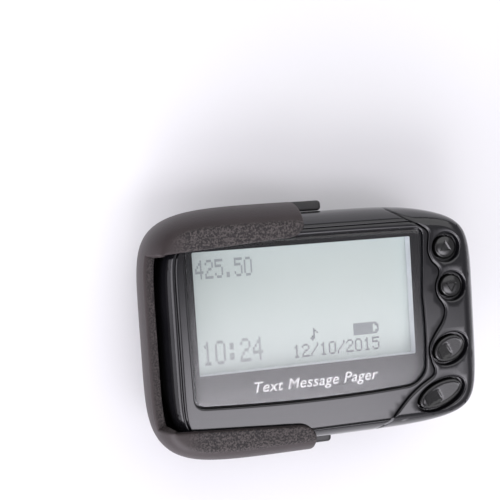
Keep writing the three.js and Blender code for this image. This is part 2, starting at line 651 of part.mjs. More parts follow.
for (const key of KEYS) {
  add("key_" + key.name, keyCap(key), KEY_GLOSS);
  add("switch_" + key.name, switchBody(key), CHIP);
  add("plunger_" + key.name, switchPlunger(key), SILICONE);
}
for (const place of SCREWS) add("case_screw_" + place[0], screw(place), STEEL);
add("holster_cradle", holsterCradle(), MATTE);
add("latch_top", latch(1), SATIN);
add("latch_bottom", latch(-1), SATIN);
add("belt_clip", beltClip(), MATTE);
add("clip_pin", clipPin(), STEEL);
add("clip_spring", clipSpring(), STEEL);

assembly.position.set((HOLSTER.halfLength - PAGER.halfLength) / 2, 0, -CLIP_OUTER_Z);

export default assembly;
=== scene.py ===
import math

import bpy
import numpy as np
from mathutils import Matrix, Vector
from mathutils.geometry import delaunay_2d_cdt


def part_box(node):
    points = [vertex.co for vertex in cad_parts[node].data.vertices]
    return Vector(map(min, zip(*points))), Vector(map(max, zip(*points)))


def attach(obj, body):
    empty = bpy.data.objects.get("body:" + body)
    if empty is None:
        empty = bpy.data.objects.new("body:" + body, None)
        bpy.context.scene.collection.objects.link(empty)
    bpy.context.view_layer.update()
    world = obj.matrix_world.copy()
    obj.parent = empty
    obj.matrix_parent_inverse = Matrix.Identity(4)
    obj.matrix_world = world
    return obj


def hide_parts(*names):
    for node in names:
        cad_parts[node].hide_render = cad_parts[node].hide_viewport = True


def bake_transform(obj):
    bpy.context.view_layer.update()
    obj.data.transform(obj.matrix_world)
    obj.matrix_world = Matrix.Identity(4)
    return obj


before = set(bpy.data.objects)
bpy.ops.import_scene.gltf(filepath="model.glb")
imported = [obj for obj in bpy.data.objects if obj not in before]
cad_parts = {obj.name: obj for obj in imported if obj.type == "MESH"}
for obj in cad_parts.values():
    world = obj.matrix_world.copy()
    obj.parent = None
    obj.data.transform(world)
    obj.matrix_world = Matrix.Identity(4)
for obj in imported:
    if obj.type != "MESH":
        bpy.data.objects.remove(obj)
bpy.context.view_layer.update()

MM = 0.001

# ---------------------------------------------------------------- camera
# Places are in millimetres from the middle of the pager's back, turned to metres in the shared frame.
# The camera looks down on the display from its left end and a little from its top edge.

PAGER_LOW, PAGER_HIGH = (np.array(corner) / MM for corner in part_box("rear_housing"))
PAGER_X = (PAGER_LOW[0] + PAGER_HIGH[0]) / 2
PAGER_Z = PAGER_LOW[2]
FRONT_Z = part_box("display_lens")[1].z / MM - PAGER_Z

CAMERA_PLACE = Vector((-59.7, 30.9, 202.35))
CAMERA_AIM = Vector((-18.9, 20.43, 20.0))
CAMERA_ROLL = -3.684
FOCAL_LENGTH = 57.0


def in_frame(point):
    """Metres in the shared frame, from millimetres measured from the middle of the pager's back."""
    return Vector((point[0] + PAGER_X, point[1], point[2] + PAGER_Z)) * MM


camera = bpy.data.objects.new("camera", bpy.data.cameras.new("camera"))
bpy.context.collection.objects.link(camera)
camera.data.lens = FOCAL_LENGTH
camera.data.sensor_width = 36
camera.data.clip_start = 0.01
sight = (CAMERA_AIM - CAMERA_PLACE).normalized()
side = sight.cross(Vector((0, 1, 0))).normalized()
level = Matrix((side, side.cross(sight), -sight)).transposed().to_4x4()
turn = Matrix.Rotation(math.radians(CAMERA_ROLL), 4, "Z")
camera.matrix_world = Matrix.Translation(in_frame(CAMERA_PLACE)) @ level @ turn
bpy.context.scene.camera = camera

# ---------------------------------------------------------------- front housing
# The front half of the case: gloss black ABS, moulded in one, with a barrel-shaped side. Its flat
# front is edged by a fine groove and sunk in the middle as a seat for the lens. It ends at the
# winding line where the key cap begins.

# Half size, power of the outline, how fast its corners tighten as it draws in, and the height and
# depth of the side's curve in front of the widest line and behind it.
PAGER_SHAPE = ((41, 28.5), 5, 1.15, ((10.5, 7.49), (11.5, 6.0)))
BELT_Z = 10.5
PARTING_Z = 9.35
PARTING_GAP = 0.3
SEAM_HALF = 0.13
LEVELS = (19.9, 19.6, 19.2, 18.7, 18, 17.2, 16.2, 15, 13.8, 12.6, 11.5, 10.6)
WINDOW_MIDDLE = np.array([-5.2, 6.0])
WINDOW_HALF = np.array([27.5, 14.75])
WINDOW_MARGIN = 0.9
LENS_GAP = 0.42
SEAT_DEPTH = 1.45
RING_POINTS = 232
SHARP_ANGLE = 32
CAP_LINE = [
    (13.6, 31), (19.6, 26.4), (22.6, 24.5), (25.2, 22.9), (26.7, 21.4), (26.5, 18.8), (26.4, 16.6),
    (27.3, 14.2), (28.9, 12.4), (29.1, 10.9), (28.3, 9), (28, 7.2), (28.5, 5.1), (29.9, 2.9), (30.2, 1.2),
    (29.3, -1.2), (27.2, -4.1), (25.8, -6.6), (25.5, -8.8), (26, -11.2), (26.6, -13.2), (25.9, -14.7),
    (22.8, -16.6), (19.7, -18.9), (17, -21.6), (14.4, -24.6), (8.5, -31.5),
]


class Skin:
    """A barrel-sided box whose outlines are superellipses, softer at the right end's corners. Its
    surface is laid flat round its first face: the side becomes a ring outside that face, and a
    second face a ring outside that."""

    soften = 0.9

    def __init__(self, half, power, tighten, curves, first_z, last_z, widest_z):
        self.half, self.power, self.tighten, self.curves = half, power, tighten, curves
        self.first_z, self.last_z, self.widest_z = first_z, last_z, widest_z
        self.height = abs(last_z - first_z)
        self.faces_up = first_z > last_z

    def inset(self, z):
        """How far the side has drawn in from the widest line, along a quarter of an ellipse."""
        height, depth = (np.where(z > self.widest_z, front, back) for front, back in zip(*self.curves))
        return depth * (1 - np.sqrt(1 - ((z - self.widest_z) / height) ** 2))

    def radius(self, angle, z):
        inset = self.inset(z)
        power = self.power + self.tighten * inset - self.soften * np.clip(np.cos(angle), 0, 1)
        across = (np.abs(np.cos(angle)) / (self.half[0] - inset)) ** power
        along = (np.abs(np.sin(angle)) / (self.half[1] - inset)) ** power
        return (across + along) ** (-1 / power)

    def ring(self, past):
        """A flat loop this far past the first face's edge, where it stands for a depth down the side."""
        turn = (np.arange(RING_POINTS) + 0.5) / RING_POINTS * 2 * np.pi
        x = self.half[0] * np.sign(np.cos(turn)) * np.abs(np.cos(turn)) ** (2 / self.power)
        y = self.half[1] * np.sign(np.sin(turn)) * np.abs(np.sin(turn)) ** (2 / self.power)
        angle = np.arctan2(y, x)
        reach = self.radius(angle, self.first_z) + past
        return np.column_stack([reach * np.cos(angle), reach * np.sin(angle)])

    def at_height(self, z):
        return self.ring(abs(z - self.first_z))

    def lay(self, points):
        """Flat places of points seen from outside the first face."""
        points = np.asarray(points, float)
        reach = np.hypot(points[:, 0], points[:, 1])
        angle = np.arctan2(points[:, 1], points[:, 0])
        near, far = np.full(len(points), float(self.first_z)), np.full(len(points), float(self.widest_z))
        for _ in range(40):
            middle = (near + far) / 2
            wider = self.radius(angle, middle) < reach
            near, far = np.where(wider, middle, near), np.where(wider, far, middle)
        first_edge = self.radius(angle, self.first_z)
        flat = np.where(reach <= first_edge, reach, first_edge + np.abs(near - self.first_z))
        return np.column_stack([flat * np.cos(angle), flat * np.sin(angle)])

    def lay_at(self, places):
        """Flat places of points whose height on the surface is known."""
        x, y, z = np.asarray(places, float).T
        angle, reach = np.arctan2(y, x), np.hypot(x, y)
        first_edge = self.radius(angle, self.first_z)
        flat = first_edge + np.abs(z - self.first_z)
        flat += np.where(z == self.last_z, self.radius(angle, self.last_z) - reach, 0)
        flat = np.where(z == self.first_z, reach, flat)
        return np.column_stack([flat * np.cos(angle), flat * np.sin(angle)])

    def side_at(self, other, z, axis):
        """How far out the left half's side is along X (0) or Y (1), at a place along the other one."""
        inset = float(self.inset(z))
        power = self.power + self.tighten * inset
        share = (abs(other) / (self.half[1 - axis] - inset)) ** power
        return (self.half[axis] - inset) * max(1 - share, 0) ** (1 / power)

    def raise_up(self, flat):
        """Places on the real surface, from flat ones."""
        reach = np.hypot(flat[:, 0], flat[:, 1])
        angle = np.arctan2(flat[:, 1], flat[:, 0])
        past = reach - self.radius(angle, self.first_z)
        z = self.first_z + np.clip(past, 0, self.height) * (-1 if self.faces_up else 1)
        real = np.where(past <= 0, reach, self.radius(angle, z) - np.clip(past - self.height, 0, None))
        return np.column_stack([real * np.cos(angle), real * np.sin(angle), z])

    def outward(self, flat):
        step = 0.02
        across = self.raise_up(flat + [step, 0]) - self.raise_up(flat - [step, 0])
        along = self.raise_up(flat + [0, step]) - self.raise_up(flat - [0, step])
        normal = np.cross(across, along) * (1 if self.faces_up else -1)
        return normal / np.linalg.norm(normal, axis=1, keepdims=True)


def shifted(loop, distance, closed=True):
    """The line moved sideways, to the left of its direction of travel for a positive distance."""
    loop = np.asarray(loop, float)
    if closed:
        along = np.roll(loop, -1, 0) - np.roll(loop, 1, 0)
    else:
        along = np.gradient(loop, axis=0)
    along /= np.linalg.norm(along, axis=1, keepdims=True)
    return loop + distance * np.column_stack([-along[:, 1], along[:, 0]])


def inside(points, loop):
    hit = np.zeros(len(points), bool)
    x, y = points[:, 0], points[:, 1]
    for (x0, y0), (x1, y1) in zip(loop, np.roll(loop, -1, 0)):
        if y0 != y1:
            hit ^= ((y0 > y) != (y1 > y)) & (x < (x1 - x0) * (y - y0) / (y1 - y0) + x0)
    return hit


def distance(points, line, closed=True):
    best = np.full(len(points), np.inf)
    ends = np.roll(line, -1, 0) if closed else line[1:]
    for start, end in zip(line, ends):
        way = end - start
        share = np.clip((points - start) @ way / max(way @ way, 1e-12), 0, 1)
        best = np.minimum(best, np.linalg.norm(points - start - share[:, None] * way, axis=1))
    return best


def beyond(points, loop):
    """Distance outside a closed loop, negative inside it."""
    return distance(points, loop) * np.where(inside(points, loop), -1, 1)


def rounded_edge(radius, steps=4):
    """A profile that rounds an edge over. A profile is a list of distances from a line, with depths."""
    turns = [math.pi / 2 * i / steps for i in range(steps + 1)]
    return [(radius * (1 - math.sin(t)), radius * (1 - math.cos(t))) for t in reversed(turns)]


def depth_at(reach, profile):
    return np.interp(reach, *zip(*sorted(profile)))


def smooth_line(points, count):
    """A Catmull-Rom curve through the points."""
    points = np.array(points, float)
    ends = [2 * points[0] - points[1], *points, 2 * points[-1] - points[-2]]
    made = []
    for p0, p1, p2, p3 in zip(ends, ends[1:], ends[2:], ends[3:]):
        for t in np.linspace(0, 1, count, endpoint=False):
            a, b, c = 2 * p1, p2 - p0, 2 * p0 - 5 * p1 + 4 * p2 - p3
            made.append((a + b * t + c * t**2 + (3 * p1 - p0 - 3 * p2 + p3) * t**3) / 2)
    return np.array([*made, points[-1]])


def smooth(mesh, sharp=SHARP_ANGLE):
    """Shades a mesh smooth, but sharp where it turns by more than this many degrees."""
    mesh.polygons.foreach_set("use_smooth", [True] * len(mesh.polygons))
    mesh.set_sharp_from_angle(angle=math.radians(sharp))


def mesh_object(name, vertices, faces):
    mesh = bpy.data.meshes.new(name)
    mesh.from_pydata([in_frame(v) for v in vertices], [], [list(map(int, f)) for f in faces])
    mesh.validate()
    smooth(mesh)
    piece = bpy.data.objects.new(name, mesh)
    bpy.context.collection.objects.link(piece)
    return piece


def settle(piece, sharp=SHARP_ANGLE):
    """Turns an object and its modifiers into a plain mesh."""
    graph = bpy.context.evaluated_depsgraph_get()
    mesh = bpy.data.meshes.new_from_object(piece.evaluated_get(graph))
    if piece.type == "MESH":
        piece.modifiers.clear()
        piece.data = mesh
    else:
        name = piece.name
        bpy.data.objects.remove(piece)
        piece = bpy.data.objects.new(name, mesh)
        bpy.context.collection.objects.link(piece)
    mesh.name = piece.name
    smooth(mesh, sharp)
    return piece


def triangles(lines, keep, fill=None):
    """A flat region cut into triangles along every line, and between them on a grid if it is filled."""
    points, edges = [], []
    for line, closed in lines:
        first = len(points)
        points += [Vector(p) for p in line]
        edges += [(first + i, first + i + 1) for i in range(len(line) - 1)]
        if closed:
            edges.append((len(points) - 1, first))
    if fill:
        placed = np.array(points)
        steps = [np.arange(a + fill / 2, b, fill) for a, b in zip(placed.min(0), placed.max(0))]
        grid = np.stack(np.meshgrid(*steps), -1).reshape(-1, 2)
        for some in np.array_split(placed, max(len(placed) // 400, 1)):
            gap = np.linalg.norm(grid[:, None] - some[None], axis=2).min(1)
            grid = grid[gap > fill * 0.45]
        points += [Vector(p) for p in grid]
    flat, _, faces, *_ = delaunay_2d_cdt(points, edges, [], 0, 1e-5)
    flat, faces = np.array(flat), np.array(faces)
    faces = faces[keep(flat[faces].mean(1))]
    used, faces = np.unique(faces, return_inverse=True)
    return flat[used], faces.reshape(-1, 3)


def closed_body(name, layers, faces):
    """A solid whose top is the first layer and whose foot is the last; the walls follow the rest."""
    count = len(layers[0])
    edges = np.vstack([faces[:, [0, 1]], faces[:, [1, 2]], faces[:, [2, 0]]])
    known = set(map(tuple, edges.tolist()))
    rim = [(a, b) for a, b in edges.tolist() if (b, a) not in known]
    made = [*faces.tolist(), *(faces[:, ::-1] + count * (len(layers) - 1)).tolist()]
    for level in range(len(layers) - 1):
        low, high = count * level, count * (level + 1)
        made += [(b + low, a + low, a + high, b + high) for a, b in rim]
    used, index = np.unique([i for face in made for i in face], return_inverse=True)
    index = iter(index.tolist())
    return mesh_object(name, np.vstack(layers)[used], [[next(index) for _ in face] for face in made])


def moulding(name, skin, lines, keep, shape, wall, fill=1.7):
    """One wall of a moulding: laid flat, cut out by keep(), raised, and pressed into shape()."""
    flat, faces = triangles(lines, keep, fill)
    if not skin.faces_up:
        faces = faces[:, ::-1]
    real, out = skin.raise_up(flat), skin.outward(flat)
    return closed_body(name, [shape(flat, real, out), real - out * wall(real)[:, None]], faces)


def cap_region(offset):
    """The cap line laid flat, and two far corners that close it round the key end."""
    line = shifted(smooth_line(CAP_LINE, 6), offset, False)
    line = line[front_skin.radius(np.arctan2(line[:, 1], line[:, 0]), BELT_Z) > np.hypot(*line.T) + 0.02]
    flat = front_skin.lay(line)
    outer = flat[[0, -1]] * (1 + 6 / np.linalg.norm(flat[[0, -1]], axis=1))[:, None]
    far = np.array([[60, outer[1][1]], [60, outer[0][1]]])
    return np.vstack([outer[0], flat, outer[1]]), far


def rounded_loop(low, high, radius, steps=5):
    loop = []
    (x0, y0), (x1, y1) = low, high
    for corner, place in enumerate([(x1, y1), (x0, y1), (x0, y0), (x1, y0)]):
        middle = np.clip(place, np.array(low) + radius, np.array(high) - radius)
        turns = np.radians(90 * corner + np.linspace(0, 90, steps + 1))
        loop += [middle + radius * np.array([np.cos(t), np.sin(t)]) for t in turns]
    return np.array(loop)


def finer(loop, longest):
    """The same closed loop, with no side longer than this."""
    made = []
    for start, end in zip(loop, np.roll(loop, -1, 0)):
        pieces = max(int(np.ceil(np.linalg.norm(end - start) / longest)), 1)
        made += [start + (end - start) * i / pieces for i in range(pieces)]
    return np.array(made)


def bend(start, pull, end, steps=8):
    """An arc from start to end that a third point pulls out."""
    shares = np.linspace(0, 1, steps + 1)[:, None]
    start, pull, end = map(np.array, (start, pull, end))
    return (1 - shares) ** 2 * start + 2 * shares * (1 - shares) * pull + shares**2 * end


def lens_loop(grow=0.0):
    """Nearly straight along the top and left, bowed at the foot, hollow on the right."""
    start = (-31.9, -15.8)
    bends = [
        ((-4, -17.6), (19.2, -16.2)), ((21, -16), (22.2, -14.9)), ((24, -13.4), (24.1, -11.6)),
        ((24.7, -4), (24.1, 6)), ((24.6, 14), (24.9, 20.6)), ((24.9, 22.3), (23.1, 22.4)),
        ((-5, 22.9), (-33.2, 22.3)), ((-34.4, 22.2), (-34.4, 21)), ((-34.4, 0), (-34.1, -13.6)),
        ((-34, -15.6), (-31.9, -15.8)),
    ]
    loop = []
    for pull, end in bends:
        loop += [*bend(start, pull, end, 14)[:-1]]
        start = end
    return shifted(loop, -grow)


def casing_wall(real):
    """The wall's thickness: the flat front is thicker than the sides."""
    return np.interp(real[:, 2], [18.5, 20], [1.5, 2.3])


def past_face(flat, skin):
    return np.hypot(*flat.T) - skin.radius(np.arctan2(flat[:, 1], flat[:, 0]), skin.first_z)


front_skin = Skin(*PAGER_SHAPE, FRONT_Z, PARTING_Z + PARTING_GAP, BELT_Z)
window_low = WINDOW_MIDDLE - WINDOW_HALF - WINDOW_MARGIN
window_high = WINDOW_MIDDLE + WINDOW_HALF + WINDOW_MARGIN
window_loop = finer(rounded_loop(window_low, window_high, 0.8), 2)
parting_edge = rounded_edge(0.25)
housing_seam_edge = rounded_edge(0.3)
border_groove = [
    (-0.3, 0), (-0.12, 0.02), (-0.02, 0.08), (0.03, 0.2), (0.06, 0.55), (0.4, 0.55), (0.43, 0.3),
    (0.5, 0.17), (0.62, 0.08), (0.78, 0.02), (0.95, 0), (1.3, 0),
]
seat_edge = [(-0.03, SEAT_DEPTH), *rounded_edge(0.28), (0.55, 0)]

seam_line, seam_far = cap_region(-SEAM_HALF)
housing_seam = np.vstack([seam_line, seam_far])
seat_loop = lens_loop(LENS_GAP)
levels = [(front_skin.at_height(z), True) for z in (*LEVELS, PARTING_Z + PARTING_GAP)]
levels += [(front_skin.ring(front_skin.height - reach), True) for reach, _ in parting_edge[1:]]
housing_lines = levels + [(front_skin.ring(reach), True) for reach, _ in border_groove]
housing_lines += [(shifted(seam_line, -reach, False), False) for reach, _ in housing_seam_edge]
housing_lines += [(shifted(seat_loop, -reach), True) for reach, _ in seat_edge]
housing_lines.append((window_loop, True))


def in_housing(flat):
    kept = (past_face(flat, front_skin) < front_skin.height) & ~inside(flat, housing_seam)
    return kept & ~inside(flat, window_loop)


def press_housing(flat, real, out):
    past = past_face(flat, front_skin)
    depth = depth_at(past, border_groove)
    depth = np.maximum(depth, depth_at(distance(flat, seam_line, False), housing_seam_edge))
    depth = np.maximum(depth, depth_at(front_skin.height - past, parting_edge))
    depth = np.maximum(depth, depth_at(beyond(flat, seat_loop), seat_edge))
    return real - out * depth[:, None]


front_housing = moulding("front_housing_shell", front_skin, housing_lines, in_housing, press_housing,
                         casing_wall)
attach(front_housing, "pager")
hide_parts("front_housing")


class Value:
    """A shader socket. Arithmetic on it adds Math nodes."""

    def __init__(self, nodes, socket):
        self.nodes, self.socket = nodes, socket

    def maths(self, operation, first, second):
        return self.nodes.node("Math", {"operation": operation}, {0: first, 1: second})

    def __add__(self, other):
        return self.maths("ADD", self, other)

    def __sub__(self, other):
        return self.maths("SUBTRACT", self, other)

    def __rsub__(self, other):
        return self.maths("SUBTRACT", other, self)

    def __mul__(self, other):
        return self.maths("MULTIPLY", self, other)

    def __truediv__(self, other):
        return self.maths("DIVIDE", self, other)

    def __gt__(self, other):
        return self.maths("GREATER_THAN", self, other)

    def __lt__(self, other):
        return self.maths("LESS_THAN", self, other)

    def __mod__(self, other):
        return self.maths("FLOORED_MODULO", self, other)

    __radd__ = __add__


class Nodes:
    """Adds nodes to a shader tree, and links them."""

    def __init__(self, tree):
        self.tree = tree

    def node(self, kind, settings=(), sockets=(), output=0):
        made = self.tree.nodes.new("ShaderNode" + kind)
        for name, value in dict(settings).items():
            if name != "stops":
                setattr(made, name, value)
                continue
            for element, (place, colour) in zip(made.color_ramp.elements, value):
                element.position, element.color = place, colour
        for name, value in dict(sockets).items():
            if isinstance(value, Value):
                self.tree.links.new(value.socket, made.inputs[name])
            else:
                made.inputs[name].default_value = value
        return Value(self, made.outputs[output])


class Finish(Nodes):
    """One surface: a Principled shader with its constants, and the nodes that vary it."""

    def __init__(self, name, constants):
        self.material = bpy.data.materials.new(name)
        self.material.use_nodes = True
        super().__init__(self.material.node_tree)
        self.shader = self.tree.nodes["Principled BSDF"]
        for socket, value in constants.items():
            self.shader.inputs[socket].default_value = value
        self.place = self.node("TexCoord", output="Object")

    def set(self, socket, value):
        self.tree.links.new(value.socket, self.shader.inputs[socket])

    def noise(self, scale, detail=2.0, stretch=(1, 1, 1)):
        """Soft noise with this many swells to the metre."""
        place = self.node("Mapping", {}, {"Vector": self.place, "Scale": stretch})
        return self.node("TexNoise", {}, {"Vector": place, "Scale": scale, "Detail": detail})

    def ramp(self, value, *stops):
        """Goes from one colour to another between two stops, each a place and a colour."""
        return self.node("ValToRGB", {"stops": stops}, {"Fac": value})

    def mix(self, share, first, second):
        return self.node("Mix", {"data_type": "RGBA"}, {0: share, 6: first, 7: second}, 2)

    def bump(self, height, depth):
        """depth is in millimetres, for a height that goes from 0 to 1."""
        self.set("Normal", self.node("Bump", {}, {"Height": height, "Distance": depth * MM, "Strength": 1.0}))


def grey(level, warmth=0.0):
    return (level * (1 + warmth), level, level * (1 - warmth), 1)


def paint(piece, finish):
    piece.data.materials.clear()
    piece.data.materials.append(finish.material)


gloss = Finish("gloss_black_abs", {"Roughness": 0.12, "IOR": 1.56})
smear = gloss.noise(46, 3, (1, 2.2, 1))
speck = gloss.noise(900, 2)
gloss_dark, gloss_light = (0.0042, 0.0042, 0.0052, 1), (0.0078, 0.0077, 0.0092, 1)
gloss.set("Base Color", gloss.ramp(smear, (0.3, gloss_dark), (0.75, gloss_light)))
gloss.set("Roughness", 0.075 + smear * 0.06 + speck * 0.03)
gloss.bump(gloss.noise(210, 1), 0.004)
paint(front_housing, gloss)

# ---------------------------------------------------------------- end cap
# The key end of the case: a second gloss black ABS moulding that hooks on behind the winding seam.
# Its edge rolls over softly, and each of the four keys stands in a dished well of its own.

WELL_REACH = 0.95
KEY_GAP = 0.3
# middle, half length, half width and tilt in degrees
KEYS = {
    "up": (31.4, 17.4, 2.9, 2.9, 0), "down": (32.5, 7.5, 2.9, 2.9, 0),
    "select": (31.2, -8.3, 4.3, 3.1, 24), "menu": (28.2, -19.6, 6.1, 2.9, 21),
}
cap_seam_edge = [*rounded_edge(0.6, steps=6), (0.9, 0)]
crease_roll = [(-1.2, 0), (-0.8, 0.02), (-0.4, 0.079), (0, 0.178), (0.4, 0.079), (0.8, 0.02), (1.2, 0)]
well_shape = [
    (-0.42, -0.05), (-0.3, 0), (-0.15, 0.03), (0, 0.12), (0.12, 0.32), (0.2, 0.7), (0.27, 1.3),
    (0.36, 1.5), (0.9, 1.5),
]


def oval_loop(key, grow=0.0, count=72):
    x, y, long, short, tilt = key
    turn, around = math.radians(tilt), np.arange(count) / count * 2 * np.pi
    u, v = (long + grow) * np.cos(around), (short + grow) * np.sin(around)
    x, y = x + u * math.cos(turn) - v * math.sin(turn), y + u * math.sin(turn) + v * math.cos(turn)
    return np.column_stack([x, y])


cap_line, cap_far = cap_region(SEAM_HALF)
cap_outline = np.vstack([cap_line, cap_far])
cap_lines = levels + [(front_skin.ring(reach), True) for reach, _ in crease_roll]
cap_lines += [(shifted(cap_line, reach, False), False) for reach, _ in cap_seam_edge]
for key in KEYS.values():
    for reach, _ in well_shape[1:-1]:
        cap_lines.append((front_skin.lay(oval_loop(key, WELL_REACH - reach)), True))
    cap_lines.append((front_skin.lay(oval_loop(key, KEY_GAP)), True))
key_holes = [front_skin.lay(oval_loop(key, KEY_GAP)) for key in KEYS.values()]


def in_cap(flat):
    kept = (past_face(flat, front_skin) < front_skin.height) & inside(flat, cap_outline)
    for hole in key_holes:
        kept &= ~inside(flat, hole)
    return kept


def press_cap(flat, real, out):
    past = past_face(flat, front_skin)
    depth = depth_at(distance(flat, cap_line, False), cap_seam_edge)
    depth = np.maximum(depth, depth_at(front_skin.height - past, parting_edge))
    real = real - out * np.maximum(depth, depth_at(past, crease_roll))[:, None]
    for key in KEYS.values():
        sunk = depth_at(-beyond(real[:, :2], oval_loop(key, WELL_REACH)), well_shape)
        real[:, 2] = np.minimum(real[:, 2], FRONT_Z - sunk)
    return real


end_cap = moulding("end_cap_shell", front_skin, cap_lines, in_cap, press_cap, casing_wall, 1.2)
paint(end_cap, gloss)
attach(end_cap, "pager")
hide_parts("end_cap")

# ---------------------------------------------------------------- keys
# Four gloss black keys on a shared rubber mat. The round ones are domed, with a sunk triangle;
# the ovals have a fine raised rim and a sunk, slanting thumb rest in their left half.

KEY_TOP, FLANGE_TOP, FLANGE_FOOT = 19.7, 17.1, 16.35
FLANGE_REACH = 0.75
ROUND_KEYS = ("up", "down")
ROUND_RADIUS, DOME = 2.9, 0.5
TRIANGLE_SIZE = 1.75
key_edge = rounded_edge(0.42, steps=5)
triangle_edge = [(-0.02, 0), (0.3, 0.3)]
rim_groove = [(0.5, 0), (0.6, 0.06), (0.8, 0.14)]
rest_edge = [(-0.16, 0), (0, 0.06), (0.14, 0.3), (0.26, 0.42)]


def triangle_loop(key, size, turned):
    spread = np.radians([90, 210, 330]) + (math.pi if turned else 0)
    return np.array([[key[0] + size * math.cos(t), key[1] + size * math.sin(t)] for t in spread])


def thumb_rest_loop(key, grow=0.0):
    """A rounded square in the left half of an oval key, in line with the key."""
    x, y, long, short, tilt = key
    turn = math.radians(tilt)
    low, high = (-long * 0.7 - grow, -short * 0.55 - grow), (-long * 0.02 + grow, short * 0.52 + grow)
    loop = rounded_loop(low, high, 0.7 + grow)
    across, along = np.array([math.cos(turn), math.sin(turn)]), np.array([-math.sin(turn), math.cos(turn)])
    return np.array([x, y]) + loop[:, :1] * across + loop[:, 1:] * along


def key_surface(name, key, flat):
    within = -beyond(flat, oval_loop(key))
    top = KEY_TOP - depth_at(within, key_edge)
    if name in ROUND_KEYS:
        reach = np.hypot(flat[:, 0] - key[0], flat[:, 1] - key[1])
        sunk = depth_at(-beyond(flat, triangle_loop(key, TRIANGLE_SIZE, name == "down")), triangle_edge)
        return top - DOME * (reach / ROUND_RADIUS) ** 4 - sunk
    groove = depth_at(within, rim_groove)
    rest = depth_at(-beyond(flat, thumb_rest_loop(key)), rest_edge)
    slant = 1 + 0.32 * ((flat[:, 1] - key[1]) - 0.2 * (flat[:, 0] - key[0]))
    return top - groove - rest * np.clip(slant, 0.35, 2)


key_gloss = Finish("gloss_black_key", {"IOR": 1.56})
key_smear = key_gloss.noise(160, 3)
key_gloss.set("Base Color", key_gloss.ramp(key_smear, (0.3, grey(0.0055)), (0.8, grey(0.011))))
key_gloss.set("Roughness", 0.12 + key_smear * 0.09)
key_gloss.bump(key_gloss.noise(700, 2), 0.006)

for name, key in KEYS.items():
    key_lines = [(oval_loop(key, -reach), True) for reach, _ in key_edge]
    if name in ROUND_KEYS:
        key_lines += [(finer(triangle_loop(key, size, name == "down"), 0.3), True) for size in (1.15, 1.79)]
        key_lines += [(oval_loop(key, -inset, 48), True) for inset in (0.55, 0.9, 1.3)]
    else:
        key_lines += [(oval_loop(key, -inset), True) for inset in (0.5, 0.6, 0.8, 1.1)]
        rests = [thumb_rest_loop(key, grow) for grow in (0.16, 0.08, 0, -0.07, -0.14, -0.26)]
        key_lines += [(finer(rest, 0.3), True) for rest in rests]
    flat, faces = triangles(key_lines, lambda middle: inside(middle, oval_loop(key)), 0.4)
    away = flat - key[:2]
    flange = key[:2] + away * (1 + FLANGE_REACH / min(key[2:4]))
    layers = [
        np.column_stack([flat, key_surface(name, key, flat)]), np.insert(flat, 2, FLANGE_TOP, 1),
        np.insert(flange, 2, FLANGE_TOP, 1), np.insert(flange, 2, FLANGE_FOOT, 1),
    ]
    key_cap = closed_body("key_cap_" + name, layers, faces)
    paint(key_cap, key_gloss)
    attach(key_cap, "key_" + name)
    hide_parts("key_" + name)

# ---------------------------------------------------------------- lens and its legend
# A flat acrylic window pressed into the housing's seat. The border round its opening is printed on
# the back in black, with a plain white legend under the display.

LENS_BACK_Z = 18.95
LEGEND_PLACE = (-4.4, -14.0, 18.87)
lens_edge = rounded_edge(0.22)
lens_lines = [(lens_loop(-reach), True) for reach, _ in lens_edge]
flat, faces = triangles(lens_lines, lambda middle: inside(middle, lens_loop()), 3.0)
lens_top = FRONT_Z - depth_at(-beyond(flat, lens_loop()), lens_edge)
lens_layers = [np.column_stack([flat, lens_top]), np.insert(flat, 2, LENS_BACK_Z, 1)]
lens = closed_body("clear_lens", lens_layers, faces)
acrylic = Finish("clear_acrylic", {"Base Color": (0.02, 0.021, 0.024, 1), "IOR": 2.75})
haze = acrylic.noise(60, 3)
acrylic.set("Alpha", 0.15 + haze * 0.02)
acrylic.set("Roughness", 0.05 + haze * 0.05)
paint(lens, acrylic)
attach(lens, "pager")
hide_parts("display_lens")

legend_type = bpy.data.curves.new("legend", "FONT")
legend_type.body = "Text Message Pager"
legend_type.size = 3.7
legend_type.shear = 0.25
legend_type.space_character = 1.06
legend_type.align_x = "CENTER"
legend_type.extrude = 0.02
legend_type.offset = 0.035
legend = bpy.data.objects.new("legend_print", legend_type)
bpy.context.collection.objects.link(legend)
legend = settle(legend, 5)
legend.data.transform(Matrix.Translation(in_frame(LEGEND_PLACE)) @ Matrix.Scale(MM, 4))
white_ink = Finish("white_ink", {"Roughness": 0.5})
white_ink.set("Base Color", white_ink.ramp(white_ink.noise(3000, 2), (0.3, grey(0.78)), (0.8, grey(0.92))))
paint(legend, white_ink)
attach(legend, "pager")

print_black = Finish("black_back_print", {"Specular IOR Level": 0.05})
print_cloud = print_black.noise(500, 2)
print_black.set("Base Color", print_black.ramp(print_cloud, (0.3, grey(0.004)), (0.8, grey(0.008))))
print_black.set("Roughness", 0.35 + print_black.noise(300, 1) * 0.1)
paint(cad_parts["lens_mask"], print_black)

# ---------------------------------------------------------------- liquid crystal display
# A reflective glass cell on a white light box. Its characters are driven dots, a little darker than
# the pale green-grey ground behind them.

GLASS_Z = 15.2
DOT_THICK = 0.03
GLYPHS = {
    "0": "01110 10001 10001 10001 10001 10001 01110", "1": "00100 01100 00100 00100 00100 00100 01110",
    "2": "01110 10001 00001 00110 01000 10000 11111", "4": "00010 00110 01010 10010 11111 00010 00010",
    "5": "11111 10000 11110 00001 00001 10001 01110", ".": "00000 00000 00000 00000 00000 01100 01100",
    ":": "00000 01100 01100 00000 01100 01100 00000", "/": "00001 00001 00010 00100 01000 10000 10000",
    "bell": "00100 00110 00101 00100 01100 11100 01000",
    "cell": "1111111111110 1111111111011 1111111111001 1111111111001 1111111111011 1111111111110",
}
